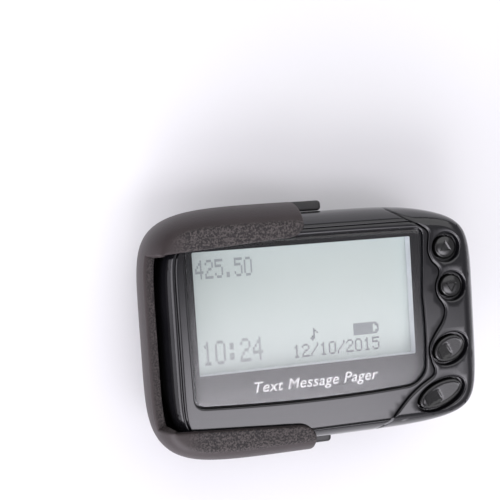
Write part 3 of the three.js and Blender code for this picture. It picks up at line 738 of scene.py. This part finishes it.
# text, left edge and top edge from the middle of the window, width and height of a dot, darkness
READOUT = [
    ("425.50", (-26.4, 12.6), (0.4, 0.66), 0.35), ("10:24", (-26, -7.1), (0.52, 0.84), 0.35),
    (["bell"], (1.2, -6.4), (0.42, 0.45), 1), ("12/10/2015", (-3.4, -10.1), (0.385, 0.47), 1),
    (["cell"], (12.6, -6.3), (0.52, 0.5), 0.8),
]
dots = []
for text, (left, top), (wide, high), dark in READOUT:
    for character, glyph in enumerate(text):
        for row, bits in enumerate(GLYPHS[glyph].split()):
            for column, bit in enumerate(bits):
                if bit == "1":
                    x = WINDOW_MIDDLE[0] + left + (character * 6 + column + 0.5) * wide
                    dots.append((x, WINDOW_MIDDLE[1] + top - (row + 0.5) * high, wide, high, dark))


class Tree:
    """A Geometry Nodes tree: nodes are added by type, settings and the values or links of their sockets."""

    def __init__(self, name, inputs):
        self.tree = bpy.data.node_groups.new(name, "GeometryNodeTree")
        self.tree.interface.new_socket("Geometry", in_out="INPUT", socket_type="NodeSocketGeometry")
        self.inputs = {}
        for label, kind in inputs.items():
            made = self.tree.interface.new_socket(label, in_out="INPUT", socket_type="NodeSocket" + kind)
            self.inputs[label] = made.identifier
        self.tree.interface.new_socket("Geometry", in_out="OUTPUT", socket_type="NodeSocketGeometry")
        self.start = self.tree.nodes.new("NodeGroupInput").outputs

    def node(self, kind, settings=(), sockets=(), output=0):
        made = self.tree.nodes.new(kind)
        for name, value in dict(settings).items():
            setattr(made, name, value)
        for name, value in dict(sockets).items():
            if isinstance(value, bpy.types.NodeSocket):
                self.tree.links.new(value, made.inputs[name])
            else:
                made.inputs[name].default_value = value
        return made.outputs[output]

    def grow(self, piece, values, finish, copies):
        """Ends the tree on its copies, runs it on a piece and leaves the piece a plain mesh."""
        real = self.node("GeometryNodeRealizeInstances", {}, {0: copies})
        done = self.node("GeometryNodeSetMaterial", {}, {0: real, "Material": finish.material})
        self.tree.links.new(done, self.tree.nodes.new("NodeGroupOutput").inputs[0])
        modifier = piece.modifiers.new("grow", "NODES")
        modifier.node_group = self.tree
        for label, value in values.items():
            modifier[self.inputs[label]] = value
        return settle(piece)


lcd_ink = Finish("lcd_dark_dots", {"Roughness": 0.3})
ink_dark, ink_light = (0.50, 0.545, 0.545, 1), (0.55, 0.595, 0.595, 1)
ink_ground = lcd_ink.ramp(lcd_ink.noise(400, 1), (0.3, ink_dark), (0.8, ink_light))
darkness = lcd_ink.node("Attribute", {"attribute_name": "darkness"}, output="Fac")
lcd_ink.set("Base Color", lcd_ink.mix(darkness, ink_ground, (0.24, 0.265, 0.275, 1)))
readout = mesh_object("lcd_characters", [(x, y, GLASS_Z + DOT_THICK) for x, y, *_ in dots], [])
readout.data.attributes.new("darkness", "FLOAT", "POINT").data.foreach_set("value", [dot[4] for dot in dots])
size_store = readout.data.attributes.new("dot_size", "FLOAT_VECTOR", "POINT")
dot_sizes = [size for _, _, wide, high, _ in dots for size in (wide, high * 0.97, DOT_THICK)]
size_store.data.foreach_set("vector", dot_sizes)
dot_tree = Tree("lcd_dots", {"Unit": "Float"})
dot = dot_tree.node("GeometryNodeMeshCube", {}, {"Size": (MM, MM, MM)})
each = dot_tree.node("GeometryNodeInputNamedAttribute", {"data_type": "FLOAT_VECTOR"}, {"Name": "dot_size"})
scaled = dot_tree.node("ShaderNodeVectorMath", {"operation": "SCALE"}, {0: each, "Scale": dot_tree.start[1]})
placed = dot_tree.node("GeometryNodeInstanceOnPoints", {},
                       {0: dot_tree.start[0], "Instance": dot, "Scale": scaled})
readout = dot_tree.grow(readout, {"Unit": 1.0}, lcd_ink, placed)
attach(readout, "pager")

lcd_ground = Finish("lcd_pale_glass", {"Roughness": 0.35})
lcd_cloud = lcd_ground.noise(38, 2)
pale_green, paler_green = (0.70, 0.79, 0.75, 1), (0.76, 0.84, 0.80, 1)
lcd_ground.set("Base Color", lcd_ground.ramp(lcd_cloud, (0.25, pale_green), (0.8, paler_green)))
paint(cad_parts["lcd_glass"], lcd_ground)

# ---------------------------------------------------------------- rear housing
# The back half of the case, the same black ABS with a finer satin grain. It holds the sliding
# door's opening, a shallow seat for the rating label, four sound slots and four screw wells.

DOORWAY = np.array([[-31.3, -23.9], [18.8, -12.9]])
BATTERY_BAY = np.array([[-30, -23.4], [15.4, -13.4]])
LABEL_SEAT = np.array([[-26, -3], [9, 19]])
SOUND_SLOTS = [((14, 9.4 + 2.6 * i), (24, 10.6 + 2.6 * i)) for i in range(4)]
SCREWS = [(-34.9, 16), (-34.9, -14.6), (21.3, -15.2), (33.6, -0.3)]
DOORWAY_DEPTH, LABEL_DEPTH, SLOT_DEPTH = 1.5, 0.3, 0.22
WELL_RADIUS, WELL_DEPTH = 1.9, 1.1
back_skin = Skin(*PAGER_SHAPE, 0.0, PARTING_Z, BELT_Z)
back_roll = [(-1.4, 0), (-0.9, 0.03), (-0.45, 0.11), (0, 0.25), (0.45, 0.11), (0.9, 0.03), (1.4, 0)]
step_edge = [(-0.12, 0), (0, 0.05), (0.08, 1), (0.14, 1)]
slot_edge = [(-9, 1), (0, 1), (0.15, 0.35), (0.4, 0)]
well_edge = [(-0.2, 0), (-0.05, 0.05), (0.02, 1), (0.3, 1)]


def disc(x, y, radius, count=36):
    return oval_loop((x, y, radius, radius, 0), 0, count)


doorway_loop = finer(rounded_loop(*DOORWAY, 1.1), 1.5)
bay_loop = finer(rounded_loop(*BATTERY_BAY, 0.8), 1.5)
label_loop = finer(rounded_loop(*LABEL_SEAT, 1.2), 1.5)
slot_loops = [rounded_loop(low, high, 0.55) for low, high in SOUND_SLOTS]
hole_loops = [bay_loop, *slot_loops, *(disc(x, y, 1.0, 24) for x, y in SCREWS)]
rear_lines = [(back_skin.at_height(z), True) for z in (0.3, 0.8, 1.5, 2.4, 3.6, 5, 6.6, 8.2, PARTING_Z)]
rear_lines += [(back_skin.ring(back_skin.height - reach), True) for reach, _ in parting_edge[1:]]
rear_lines += [(back_skin.ring(reach), True) for reach, _ in back_roll]
rear_lines += [(shifted(loop, reach), True) for loop in (doorway_loop, label_loop) for reach, _ in step_edge]
rear_lines += [(disc(x, y, WELL_RADIUS - reach), True) for x, y in SCREWS for reach, _ in well_edge]
rear_lines += [(shifted(loop, -reach), True) for loop in slot_loops for reach in (0, 0.2, 0.4)]
rear_lines += [(loop, True) for loop in hole_loops]


def in_rear(flat):
    kept = past_face(flat, back_skin) < back_skin.height
    for hole in hole_loops:
        kept &= ~inside(flat, hole)
    return kept


def press_rear(flat, real, out):
    past = past_face(flat, back_skin)
    depth = np.maximum(depth_at(past, back_roll), depth_at(back_skin.height - past, parting_edge))
    depth = np.maximum(depth, DOORWAY_DEPTH * depth_at(-beyond(flat, doorway_loop), step_edge))
    depth = np.maximum(depth, LABEL_DEPTH * depth_at(-beyond(flat, label_loop), step_edge))
    for loop in slot_loops:
        depth = np.maximum(depth, SLOT_DEPTH * depth_at(beyond(flat, loop), slot_edge))
    for x, y in SCREWS:
        within = WELL_RADIUS - np.hypot(flat[:, 0] - x, flat[:, 1] - y)
        depth = np.maximum(depth, WELL_DEPTH * depth_at(within, well_edge))
    return real - out * depth[:, None]


def rear_wall(real):
    """The wall's thickness: more of it stands round the doorway's step."""
    return 1.6 + 0.9 * (beyond(real[:, :2], doorway_loop) < 0.3) * (real[:, 2] < 3)


satin = Finish("satin_black_abs", {"IOR": 1.5})
satin_swell = satin.noise(90, 3)
satin.set("Base Color", satin.ramp(satin_swell, (0.3, grey(0.011)), (0.8, grey(0.019))))
satin.set("Roughness", 0.36 + satin_swell * 0.16)
satin.bump(satin.noise(2600, 2), 0.018)
rear_housing = moulding("rear_housing_shell", back_skin, rear_lines, in_rear, press_rear, rear_wall, 1.8)
paint(rear_housing, satin)
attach(rear_housing, "pager")
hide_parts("rear_housing")

# ---------------------------------------------------------------- battery door
# A flat satin panel of the same ABS that closes the cell's bay. It slides along the back towards
# the keys, and five thumb grooves near that end give the hold.

DOOR = ((-31, -23.6), (16, -13.2))
DOOR_FACE_Z, DOOR_THICK = 0.05, 1.4
groove_edge = [(-0.2, 0), (-0.05, 0.05), (0.1, 0.4), (0.2, 0.45)]
door_loop = finer(rounded_loop(*DOOR, 0.9), 1.2)
door_edge = rounded_edge(0.25)
grooves = [rounded_loop((7 + 1.6 * i, -21.2), (7.7 + 1.6 * i, -15.6), 0.34) for i in range(5)]
door_lines = [(shifted(door_loop, reach), True) for reach, _ in door_edge]
door_lines += [(shifted(loop, -reach), True) for loop in grooves for reach in (0.2, 0.05, -0.1, -0.2)]
flat, faces = triangles(door_lines, lambda middle: inside(middle, door_loop), 1.6)
sunk = depth_at(-beyond(flat, door_loop), door_edge)
for loop in grooves:
    sunk = np.maximum(sunk, depth_at(-beyond(flat, loop), groove_edge))
layers = [np.column_stack([flat, DOOR_FACE_Z + sunk]), np.insert(flat, 2, DOOR_THICK, 1)]
battery_door = closed_body("battery_door_panel", layers, faces[:, ::-1])
paint(battery_door, satin)
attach(battery_door, "battery_door")
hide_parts("battery_door")

# ---------------------------------------------------------------- case screws
# Four small zinc-plated steel screws with domed heads and cross slots, sunk in wells in the rear
# housing. They run up into the front half of the case and hold it closed.

HEAD, SHANK = 1.45, 0.8
HEAD_Z, NECK_Z, POINT_Z = 0.35, 1, 9
HEAD_DOME, CROSS_DEPTH = 0.3, 0.45
cross_edge = [(-0.01, 0), (0.05, 1)]
corner = [(1, 0.2), (0.2, 0.2), (0.2, 1)]
half_cross = corner + [(-x, y) for x, y in reversed(corner)]
cross = np.array(half_cross + [(-x, -y) for x, y in half_cross])
head_lines = [(disc(0, 0, radius), True) for radius in (HEAD, 1.4, 1.3, 1.15)]
head_lines += [(cross, True), (shifted(cross, 0.05), True)]
flat, faces = triangles(head_lines, lambda middle: np.hypot(*middle.T) < HEAD, 0.4)
crown = HEAD_Z + HEAD_DOME * (np.hypot(*flat.T) / HEAD) ** 4
crown += CROSS_DEPTH * depth_at(-beyond(flat, cross), cross_edge)
neck = flat * SHANK / HEAD
layers = [np.column_stack([flat, crown]), np.insert(flat, 2, NECK_Z, 1)]
layers += [np.insert(neck, 2, z, 1) for z in (NECK_Z, POINT_Z)]
screw = closed_body("screw", layers, faces[:, ::-1])
screw.data.transform(Matrix.Translation(-in_frame((0, 0, 0))))
steel = Finish("plated_steel", {"Metallic": 1.0})
steel_cloud = steel.noise(700, 3)
steel.set("Base Color", steel.ramp(steel_cloud, (0.3, grey(0.42, 0.02)), (0.8, grey(0.62, 0.02))))
steel.set("Roughness", 0.24 + steel_cloud * 0.2)
screws = mesh_object("case_screws", [(x, y, 0) for x, y in SCREWS], [])
screw_tree = Tree("screws_in_wells", {"Screw": "Object", "Turn": "Float"})
one = screw_tree.node("GeometryNodeObjectInfo", {}, {"Object": screw_tree.start[1]}, "Geometry")
step = screw_tree.node("ShaderNodeMath", {"operation": "MULTIPLY"},
                       {0: screw_tree.node("GeometryNodeInputIndex"), 1: screw_tree.start[2]})
turned = screw_tree.node("ShaderNodeCombineXYZ", {}, {"Z": step})
screw_copies = screw_tree.node("GeometryNodeInstanceOnPoints", {},
                               {0: screw_tree.start[0], "Instance": one, "Rotation": turned})
screws = screw_tree.grow(screws, {"Screw": screw, "Turn": 0.9}, steel, screw_copies)
bpy.data.objects.remove(screw)
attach(screws, "pager")
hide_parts("case_screw_left_top", "case_screw_left_bottom", "case_screw_lower", "case_screw_right")

# ---------------------------------------------------------------- holster
# A U-shaped cradle in dark grey-brown glass-filled nylon, moulded in one. It grips the left end and
# both long edges; its lips and its rim are spark-textured, its sides smooth.

HOLSTER_SHAPE = ((45.3, 31.2), 5.5, 0.5, ((12.8, 7.57), (13.6, 6.74)))
HOLSTER_BACK_Z, HOLSTER_FRONT_Z, HOLSTER_BELT_Z = -2.6, 21.8, 10.0
MOUTH_X = -5.7
RIM_Y, RIM_Z = 20.6, 17.0
LIP = [(-5.75, 25.2), (-5.95, 24.7), (-6.3, 24.2), (-6.9, 23.6), (-7.6, 23.15), (-8.4, 22.87), (-9.2, 22.7)]
LIP_ROOT = (-39.85, 20.74)
TONGUE_X, TONGUE_HALF, TONGUE_CORNER = 7.0, 16.0, 4.0
LATCH_SLOT = ((-15.3, 4.1), (-3.0, 9.7))
PIVOT = np.array([12.5, -5.2])
CLIP_X = -11.0


def holster_outline():
    """The cut edge of the cradle: up the mouth, along a lip, round the rim, and back."""
    back, front = holster_skin.first_z, holster_skin.last_z
    heights = np.linspace(back, front, 26)
    half = [(MOUTH_X, holster_skin.side_at(MOUTH_X, z, 1), z) for z in heights]
    half += [(MOUTH_X, y, front) for y in np.linspace(half[-1][1], LIP[0][1], 4)[1:-1]]
    half += [(x, y, front) for x, y in LIP]
    half += [(*p, front) for p in np.linspace(LIP[-1], LIP_ROOT, 30)[1:-1]]
    half += [(-holster_skin.side_at(RIM_Y, z, 0), RIM_Y, z) for z in np.linspace(front, RIM_Z, 10)]
    half += [(-holster_skin.side_at(y, RIM_Z, 0), y, RIM_Z) for y in np.linspace(RIM_Y, 0, 24)[1:]]
    edge = half + [(x, -y, z) for x, y, z in reversed(half[:-1])]
    corner = TONGUE_HALF - TONGUE_CORNER
    turns = np.radians(np.linspace(0, 90, 7))
    arc = [(TONGUE_X + TONGUE_CORNER * (np.sin(t) - 1), corner + TONGUE_CORNER * np.cos(t)) for t in turns]
    tongue = [(x, y, back) for x, y in [(MOUTH_X, TONGUE_HALF), *arc]]
    return np.array(edge + [(x, -y, z) for x, y, z in tongue] + tongue[::-1])


def slab(name, outline, low, high, holes=(), axis=2, bevel=0.0):
    """A plate cut across X (0) or Z (2) from a closed outline, its edges rounded by a bevel."""
    def keep(middle):
        kept = inside(middle, outline)
        for hole in holes:
            kept &= ~inside(middle, hole)
        return kept

    flat, faces = triangles([(outline, True), *((hole, True) for hole in holes)], keep)
    piece = closed_body(name, [np.insert(flat, axis, level, 1) for level in (high, low)], faces)
    if bevel:
        edge = piece.modifiers.new("edge", "BEVEL")
        edge.width, edge.segments = bevel * MM, 3
        edge.limit_method, edge.angle_limit = "ANGLE", math.radians(40)
        settle(piece)
    return piece


def joined(name, pieces):
    with bpy.context.temp_override(active_object=pieces[0], selected_editable_objects=pieces):
        bpy.ops.object.join()
    pieces[0].name = pieces[0].data.name = name
    return pieces[0]


def mark(piece, name, rule):
    """Stores a number at each vertex, worked out from its place in millimetres."""
    places = np.array([v.co for v in piece.data.vertices]) / MM - [PAGER_X, 0, PAGER_Z]
    piece.data.attributes.new(name, "FLOAT", "POINT").data.foreach_set("value", rule(places))


holster_skin = Skin(*HOLSTER_SHAPE, HOLSTER_BACK_Z, HOLSTER_FRONT_Z, HOLSTER_BELT_Z)
cut_edge = holster_outline()
cut_flat = holster_skin.lay_at(cut_edge)
slot_loop = finer(rounded_loop(*LATCH_SLOT, 0.4), 1)
slot_sides = [[(x, side * holster_skin.side_at(x, z, 1), z) for x, z in slot_loop] for side in (1, -1)]
slot_flats = [holster_skin.lay_at(loop) for loop in slot_sides]
lip_edge = rounded_edge(0.5)
slot_round = rounded_edge(0.25)
cradle_levels = (
    -2.2, -1.5, -0.6, 0.6, 2, 3.4, 5, 6.8, 8.6, 10.4,
    12.2, 13.8, 15.2, 16.4, 17.5, 18.5, 19.4, 20.2, 20.8, 21.4,
)
cradle_lines = [(holster_skin.at_height(z), True) for z in cradle_levels]
cradle_lines += [(holster_skin.ring(reach), True) for reach, _ in back_roll[:4]]
cradle_lines += [(holster_skin.ring(holster_skin.height + reach), True) for reach, _ in crease_roll[3:]]
cradle_lines += [(shifted(cut_flat, reach), True) for reach in (0, 0.06, 0.15, 0.3, 0.5, 0.8)]
cradle_lines += [(loop, True) for loop in slot_flats]
for loop, outward in zip(slot_flats, (-1, 1)):
    cradle_lines += [(shifted(loop, outward * reach), True) for reach in (0.08, 0.25)]


def in_cradle(flat):
    kept = inside(flat, cut_flat)
    for loop in slot_flats:
        kept &= ~inside(flat, loop)
    return kept


def press_cradle(flat, real, out):
    past = past_face(flat, holster_skin)
    depth = np.maximum(depth_at(past, back_roll), depth_at(past - holster_skin.height, crease_roll))
    depth = np.maximum(depth, depth_at(distance(real, cut_edge), lip_edge))
    for loop in slot_sides:
        depth = np.maximum(depth, depth_at(distance(real, np.array(loop)), slot_round))
    return real - out * depth[:, None]


def cradle_wall(real):
    """The wall's thickness, which thins towards the lips."""
    return np.interp(real[:, 2], [-2.6, 10, 17, 20, 21.4, 21.8], [2.2, 2.25, 2.35, 2.1, 1.5, 1.45])


def cradle_grain(places):
    """1 where the spark texture is: on the lips, and on what faces inwards below them."""
    x, y, z = places.T
    lips = np.clip((z - 21.35) / 0.3, 0, 1) * np.clip((x + 38) / 5, 0, 1)
    height = np.clip(z, HOLSTER_BACK_Z, HOLSTER_FRONT_Z)
    within = holster_skin.radius(np.arctan2(y, x), height) - np.hypot(x, y)
    return np.maximum(lips, np.clip((within - 0.4) / 0.4, 0, 1) * (z < 21))


nylon = Finish("spark_textured_nylon", {"IOR": 1.5, "Specular IOR Level": 0.36})
grain = nylon.node("Attribute", {"attribute_name": "grain"}, output="Fac")
nylon_cloud, nylon_speck = nylon.noise(55, 3), nylon.noise(2500, 3)
smooth_side = nylon.ramp(nylon_cloud, (0.3, (0.023, 0.0165, 0.017, 1)), (0.8, (0.035, 0.026, 0.0265, 1)))
speckled = nylon.ramp(nylon_speck, (0.42, (0.012, 0.010, 0.0105, 1)), (0.62, (0.072, 0.061, 0.060, 1)))
nylon.set("Base Color", nylon.mix(grain, smooth_side, speckled))
nylon.set("Roughness", 0.42 + grain * 0.16 + nylon_cloud * 0.1)
nylon.bump(nylon.noise(1900, 2) * 0.25 + grain * nylon_speck, 0.16)

cradle = moulding("holster_shell", holster_skin, cradle_lines, in_cradle, press_cradle, cradle_wall, 1.6)
mark(cradle, "grain", cradle_grain)


def hinge_ears(radius, root_z, half_thick, hole, spread):
    """Two plates on either side of the clip's middle, each a knuckle round the pin with a straight root."""
    side = np.sign(root_z - PIVOT[1])
    knuckle = [point for point in disc(*PIVOT, radius, 40) if side * point[1] <= side * PIVOT[1]]
    root = [(PIVOT[0] + side * radius, root_z), (PIVOT[0] - side * radius, root_z)]
    outline, holes = np.array(knuckle + root), [disc(*PIVOT, hole, 28)]
    places = (CLIP_X - spread, CLIP_X + spread)
    return [slab("ear", outline, x - half_thick, x + half_thick, holes, 0, 0.2) for x in places]


cradle = joined("holster_shell", [cradle, *hinge_ears(2.2, -2.3, 1.2, 1.02, 7)])
paint(cradle, nylon)
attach(cradle, "holster")
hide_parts("holster_cradle")

# ---------------------------------------------------------------- latch tongues
# Two springy black acetal tongues set in slots in the holster's arms, each a flat bar with rounded
# edges. They flex outwards, and their free ends press on the pager's long sides.

LATCH_INNER, LATCH_OUTER = 28.55, 31.15
LATCH_FOOT_Z, LATCH_TOP_Z = 4.4, 9.4
LATCH_START_X = -15
latch_edge = rounded_edge(0.5)
acetal = Finish("black_acetal", {"IOR": 1.48})
acetal_cloud = acetal.noise(140, 3)
acetal.set("Base Color", acetal.ramp(acetal_cloud, (0.3, grey(0.013)), (0.8, grey(0.024))))
acetal.set("Roughness", 0.26 + acetal_cloud * 0.18)
acetal.bump(acetal.noise(1300, 2), 0.012)
for name, side, end_x in (("latch_top", 1, 2.6), ("latch_bottom", -1, 1.8)):
    low, high = sorted((side * LATCH_INNER, side * LATCH_OUTER))
    loop = rounded_loop((LATCH_START_X, low), (end_x, high), 0.95)
    flat, faces = triangles([(loop, True)], lambda middle: inside(middle, loop))
    steps = [(reach, LATCH_TOP_Z - sunk) for reach, sunk in reversed(latch_edge)]
    steps += [(reach, LATCH_FOOT_Z + sunk) for reach, sunk in latch_edge]
    layers = [np.insert(shifted(flat, reach), 2, z, 1) for reach, z in steps]
    tongue = closed_body(name + "_tongue", layers, faces)
    paint(tongue, acetal)
    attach(tongue, name)
    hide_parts(name)

# ---------------------------------------------------------------- belt clip
# A sprung lever in the holster's nylon: a flat plate with grip grooves at its top and a toe at its
# foot that turns in towards the holster's back. Two ears carry it on a steel pin.

CLIP_HALF = 13.0
OUTER_Z, INNER_Z = -9.6, -7.6
TOP_Y, TOE_Y = 24.0, -21.0
PIN_RADIUS, PIN_HALF = 0.9, 12.2
COIL_HALF, COIL_RADIUS, COIL_TURNS = 3.6, 1.5, 5
WIRE_RADIUS = 0.3

lever_side = np.vstack([
    bend((TOP_Y, INNER_Z - 0.9), (TOP_Y - 0.5, OUTER_Z), (TOP_Y - 4, OUTER_Z), 5),
    bend((TOE_Y + 5, OUTER_Z), (TOE_Y, OUTER_Z), (TOE_Y - 0.6, -6)),
    bend((TOE_Y - 0.6, -3.6), (TOE_Y - 0.4, -2.9), (TOE_Y + 0.5, -2.9), 5),
    bend((TOE_Y + 0.7, -2.9), (TOE_Y + 1.6, -3.0), (TOE_Y + 1.8, -4.2), 5),
    bend((TOE_Y + 1.85, -4.6), (TOE_Y + 2.4, INNER_Z), (TOE_Y + 5.5, INNER_Z)),
    bend((TOP_Y - 3, INNER_Z), (TOP_Y - 0.4, INNER_Z), (TOP_Y, INNER_Z - 0.7), 5),
])
lever = slab("lever", lever_side[::-1], CLIP_X - CLIP_HALF, CLIP_X + CLIP_HALF, axis=0, bevel=0.55)
for i in range(4):
    low = TOP_Y - 9 + 1.8 * i
    groove_loop = rounded_loop((CLIP_X - 8, low), (CLIP_X + 8, low + 0.9), 0.44)
    cutter = slab("cutter", groove_loop, OUTER_Z - 2.4, OUTER_Z + 0.4)
    groove = lever.modifiers.new("groove", "BOOLEAN")
    groove.object, groove.operation, groove.solver = cutter, "DIFFERENCE", "EXACT"
    settle(lever)
    bpy.data.objects.remove(cutter)
lever = joined("belt_clip_lever", [lever, *hinge_ears(2.0, INNER_Z - 0.1, 1.1, 0.98, 10.4)])
mark(lever, "grain", lambda places: np.full(len(places), 0.35))
paint(lever, nylon)
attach(lever, "clip")
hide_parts("belt_clip")

pin_loop = disc(*PIVOT, PIN_RADIUS, 40)
pin = slab("hinge_pin", pin_loop, CLIP_X - PIN_HALF, CLIP_X + PIN_HALF, axis=0, bevel=0.25)
paint(pin, steel)
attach(pin, "holster")
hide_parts("clip_pin")

coil = [(CLIP_X - COIL_HALF, PIVOT[0] - 8, -3.1)]
for t in np.linspace(0, 1, 24 * COIL_TURNS + 1):
    angle = math.pi / 2 + t * 2 * COIL_TURNS * math.pi
    y, z = PIVOT[0] - COIL_RADIUS * math.cos(angle), PIVOT[1] + COIL_RADIUS * math.sin(angle)
    coil.append((CLIP_X - COIL_HALF + 2 * COIL_HALF * t, y, z))
coil += [(CLIP_X + COIL_HALF, PIVOT[0] + out, z) for out, z in ((2, -3.7), (4, -4.9), (7.5, -7.1))]
wire = bpy.data.curves.new("torsion_spring", "CURVE")
wire.dimensions, wire.use_fill_caps = "3D", True
wire.bevel_depth, wire.bevel_resolution = WIRE_RADIUS * MM, 3
strand = wire.splines.new("POLY")
strand.points.add(len(coil) - 1)
strand.points.foreach_set("co", [c for p in coil for c in (*in_frame(p), 1)])
spring = bpy.data.objects.new("torsion_spring", wire)
bpy.context.collection.objects.link(spring)
spring = settle(spring)
paint(spring, steel)
in_frame((CLIP_X, PIVOT[0] + 1, -3.7))
in_frame((CLIP_X, PIVOT[0] + 5, -5.9))
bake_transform(spring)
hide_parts("clip_spring")

# ---------------------------------------------------------------- rating label
# A pale foil with rounded corners, stuck in its seat on the back. It is printed with ruled rows
# and a block of stripes.

LABEL = ((-25.6, -2.6), (8.6, 18.6))
label = slab("rating_plate", rounded_loop(*LABEL, 1.0), 0.02, 0.22)
foil = Finish("printed_foil", {"Metallic": 0.2, "Roughness": 0.42})
across = foil.node("SeparateXYZ", {}, {0: foil.place}, "X") / MM
up = foil.node("SeparateXYZ", {}, {0: foil.place}, "Y") / MM
rows = (up % 3.4 < 0.22) * (across > -21) * (across < 8.5)
stripes = ((across % 0.9 < 0.4) + (across % 1.7 < 0.3) > 0.5) * (up > -0.8) * (up < 2.4) * (across > -8)
ink = (rows + stripes * (across < 8) > 0.5) * 1.0
foil_ground = foil.ramp(foil.noise(900, 3), (0.3, grey(0.52)), (0.8, grey(0.60)))
foil.set("Base Color", foil.mix(ink, foil_ground, grey(0.03)))
paint(label, foil)
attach(label, "pager")
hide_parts("rating_label")

# ---------------------------------------------------------------- what the case holds
# The circuit board and what is soldered to it, the display's light box, the motor, sounder and
# cell: each keeps its own shape and takes the finish of what it is made of.

# pieces, darker and lighter colour, roughness, metal, noise swells to the metre
INNARDS = {
    "white_light_box": (
        ("lcd_frame", "backlight_panel"),
        (0.62, 0.65, 0.68), (0.74, 0.77, 0.80), 0.4, 0.0, 300),
    "grey_silicone": (
        ("zebra_connector", "keypad_sheet", "buzzer_gasket", "motor_cradle",
         *("plunger_" + key for key in KEYS)),
        (0.02, 0.02, 0.022), (0.035, 0.035, 0.04), 0.6, 0.0, 500),
    "green_board": (
        ("main_board",),
        (0.01, 0.09, 0.035), (0.016, 0.13, 0.05), 0.3, 0.0, 260),
    "tinned_can": (
        ("rf_shield", "crystal_can", "vibration_motor"),
        (0.5, 0.5, 0.49), (0.68, 0.68, 0.66), 0.25, 1.0, 240),
    "chip_resin": (
        ("processor_chip", "decoder_chip", "buzzer", *("switch_" + key for key in KEYS)),
        (0.012, 0.012, 0.013), (0.022, 0.022, 0.024), 0.45, 0.0, 800),
    "brass_strip": (
        ("loop_antenna", "battery_plate"),
        (0.55, 0.36, 0.12), (0.72, 0.50, 0.2), 0.28, 1.0, 400),
    "nickel_wire": (
        ("battery_spring", "vibration_weight"),
        (0.42, 0.4, 0.37), (0.6, 0.58, 0.54), 0.3, 1.0, 900),
    "cell_wrap": (
        ("battery_cell",),
        (0.03, 0.09, 0.24), (0.05, 0.13, 0.32), 0.25, 0.0, 200),
}
for name, (nodes, dark, light, rough, metal, scale) in INNARDS.items():
    finish = Finish(name, {"Metallic": metal})
    cloud = finish.noise(scale, 3)
    finish.set("Base Color", finish.ramp(cloud, (0.3, (*dark, 1)), (0.8, (*light, 1))))
    finish.set("Roughness", rough + cloud * 0.15)
    finish.bump(finish.noise(scale * 3, 2), 0.008)
    for node in nodes:
        paint(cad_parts[node], finish)

# ---------------------------------------------------------------- studio
# A plain pale floor. The light comes from a soft box overhead that leans to the display's foot and
# to the keys, from two low glows at the left and the foot, and from a small lamp and a large one.

FLOOR_HALF = 2500
BOX_POWER, LEFT_POWER, FOOT_POWER = 5.4, 2.5, 3.6
floor_corners = [(x * FLOOR_HALF, y * FLOOR_HALF, -PAGER_Z) for x, y in ((-1, -1), (1, -1), (1, 1), (-1, 1))]
floor = mesh_object("floor", floor_corners, [(0, 1, 2, 3)])
pale = Finish("pale_floor", {"Roughness": 0.9, "Specular IOR Level": 0.1})
floor_dark, floor_light = (0.74, 0.74, 0.752, 1), (0.76, 0.76, 0.772, 1)
pale.set("Base Color", pale.ramp(pale.noise(3, 2), (0.3, floor_dark), (0.8, floor_light)))
paint(floor, pale)

world = bpy.data.worlds.new("studio")
bpy.context.scene.world = world
world.use_nodes = True
sky = Nodes(world.node_tree)
direction = sky.node("TexCoord", output="Generated")
east, north, up = (sky.node("SeparateXYZ", {}, {0: direction}, axis) for axis in "XYZ")


def fade(value, start, end, low, high):
    """Goes softly from low to high while the value goes from start to end."""
    limits = {"Value": value, "From Min": start, "From Max": end, "To Min": low, "To Max": high}
    return sky.node("MapRange", {"interpolation_type": "SMOOTHSTEP"}, limits)


above = up > 0.05
lean, reach = 0 - north / up, east / up
box = fade(lean, 0.06, 0.3, 0, 1) * fade(lean, 0.42, 0.65, 1, 0)
box = box * fade(reach, -0.15, 0.05, 0, 1) * fade(reach, 0.34, 0.66, 1, 0.1) * fade(reach, 0.66, 0.9, 1, 0)
left_glow = fade(0 - east * 0.9 - north * 0.45, 0.3, 0.9, 0, 1) * fade(up, 0.3, 0.75, 1, 0)
foot_glow = fade(0 - east * 0.45 - north * 0.9, 0.55, 0.95, 0, 1) * fade(up, 0.6, 0.9, 1, 0)
strength = fade(up, 0.05, 0.5, 0.58, 0.42) * fade(north, 0.1, 0.7, 1, 0.7)
strength = strength + (box * BOX_POWER + left_glow * LEFT_POWER + foot_glow * FOOT_POWER) * above
sky.tree.links.new(strength.socket, world.node_tree.nodes["Background"].inputs["Strength"])
world.node_tree.nodes["Background"].inputs["Color"].default_value = (0.955, 0.93, 1.0, 1)

for name, place, size, power in (
    ("front_light", (-0.16, -0.52, 0.64), 0.25, 1.3), ("rear_light", (0.2, 0.85, 0.9), 1.7, 10.5),
):
    lamp = bpy.data.lights.new(name, "AREA")
    lamp.shape, lamp.size, lamp.energy = "SQUARE", size, power
    light = bpy.data.objects.new(name, lamp)
    aim = Vector(place).to_track_quat("Z", "Y").to_matrix().to_4x4()
    light.matrix_world = Matrix.Translation(place) @ aim
    bpy.context.collection.objects.link(light)
bpy.context.scene.view_settings.view_transform = "Standard"

bpy.context.view_layer.update()
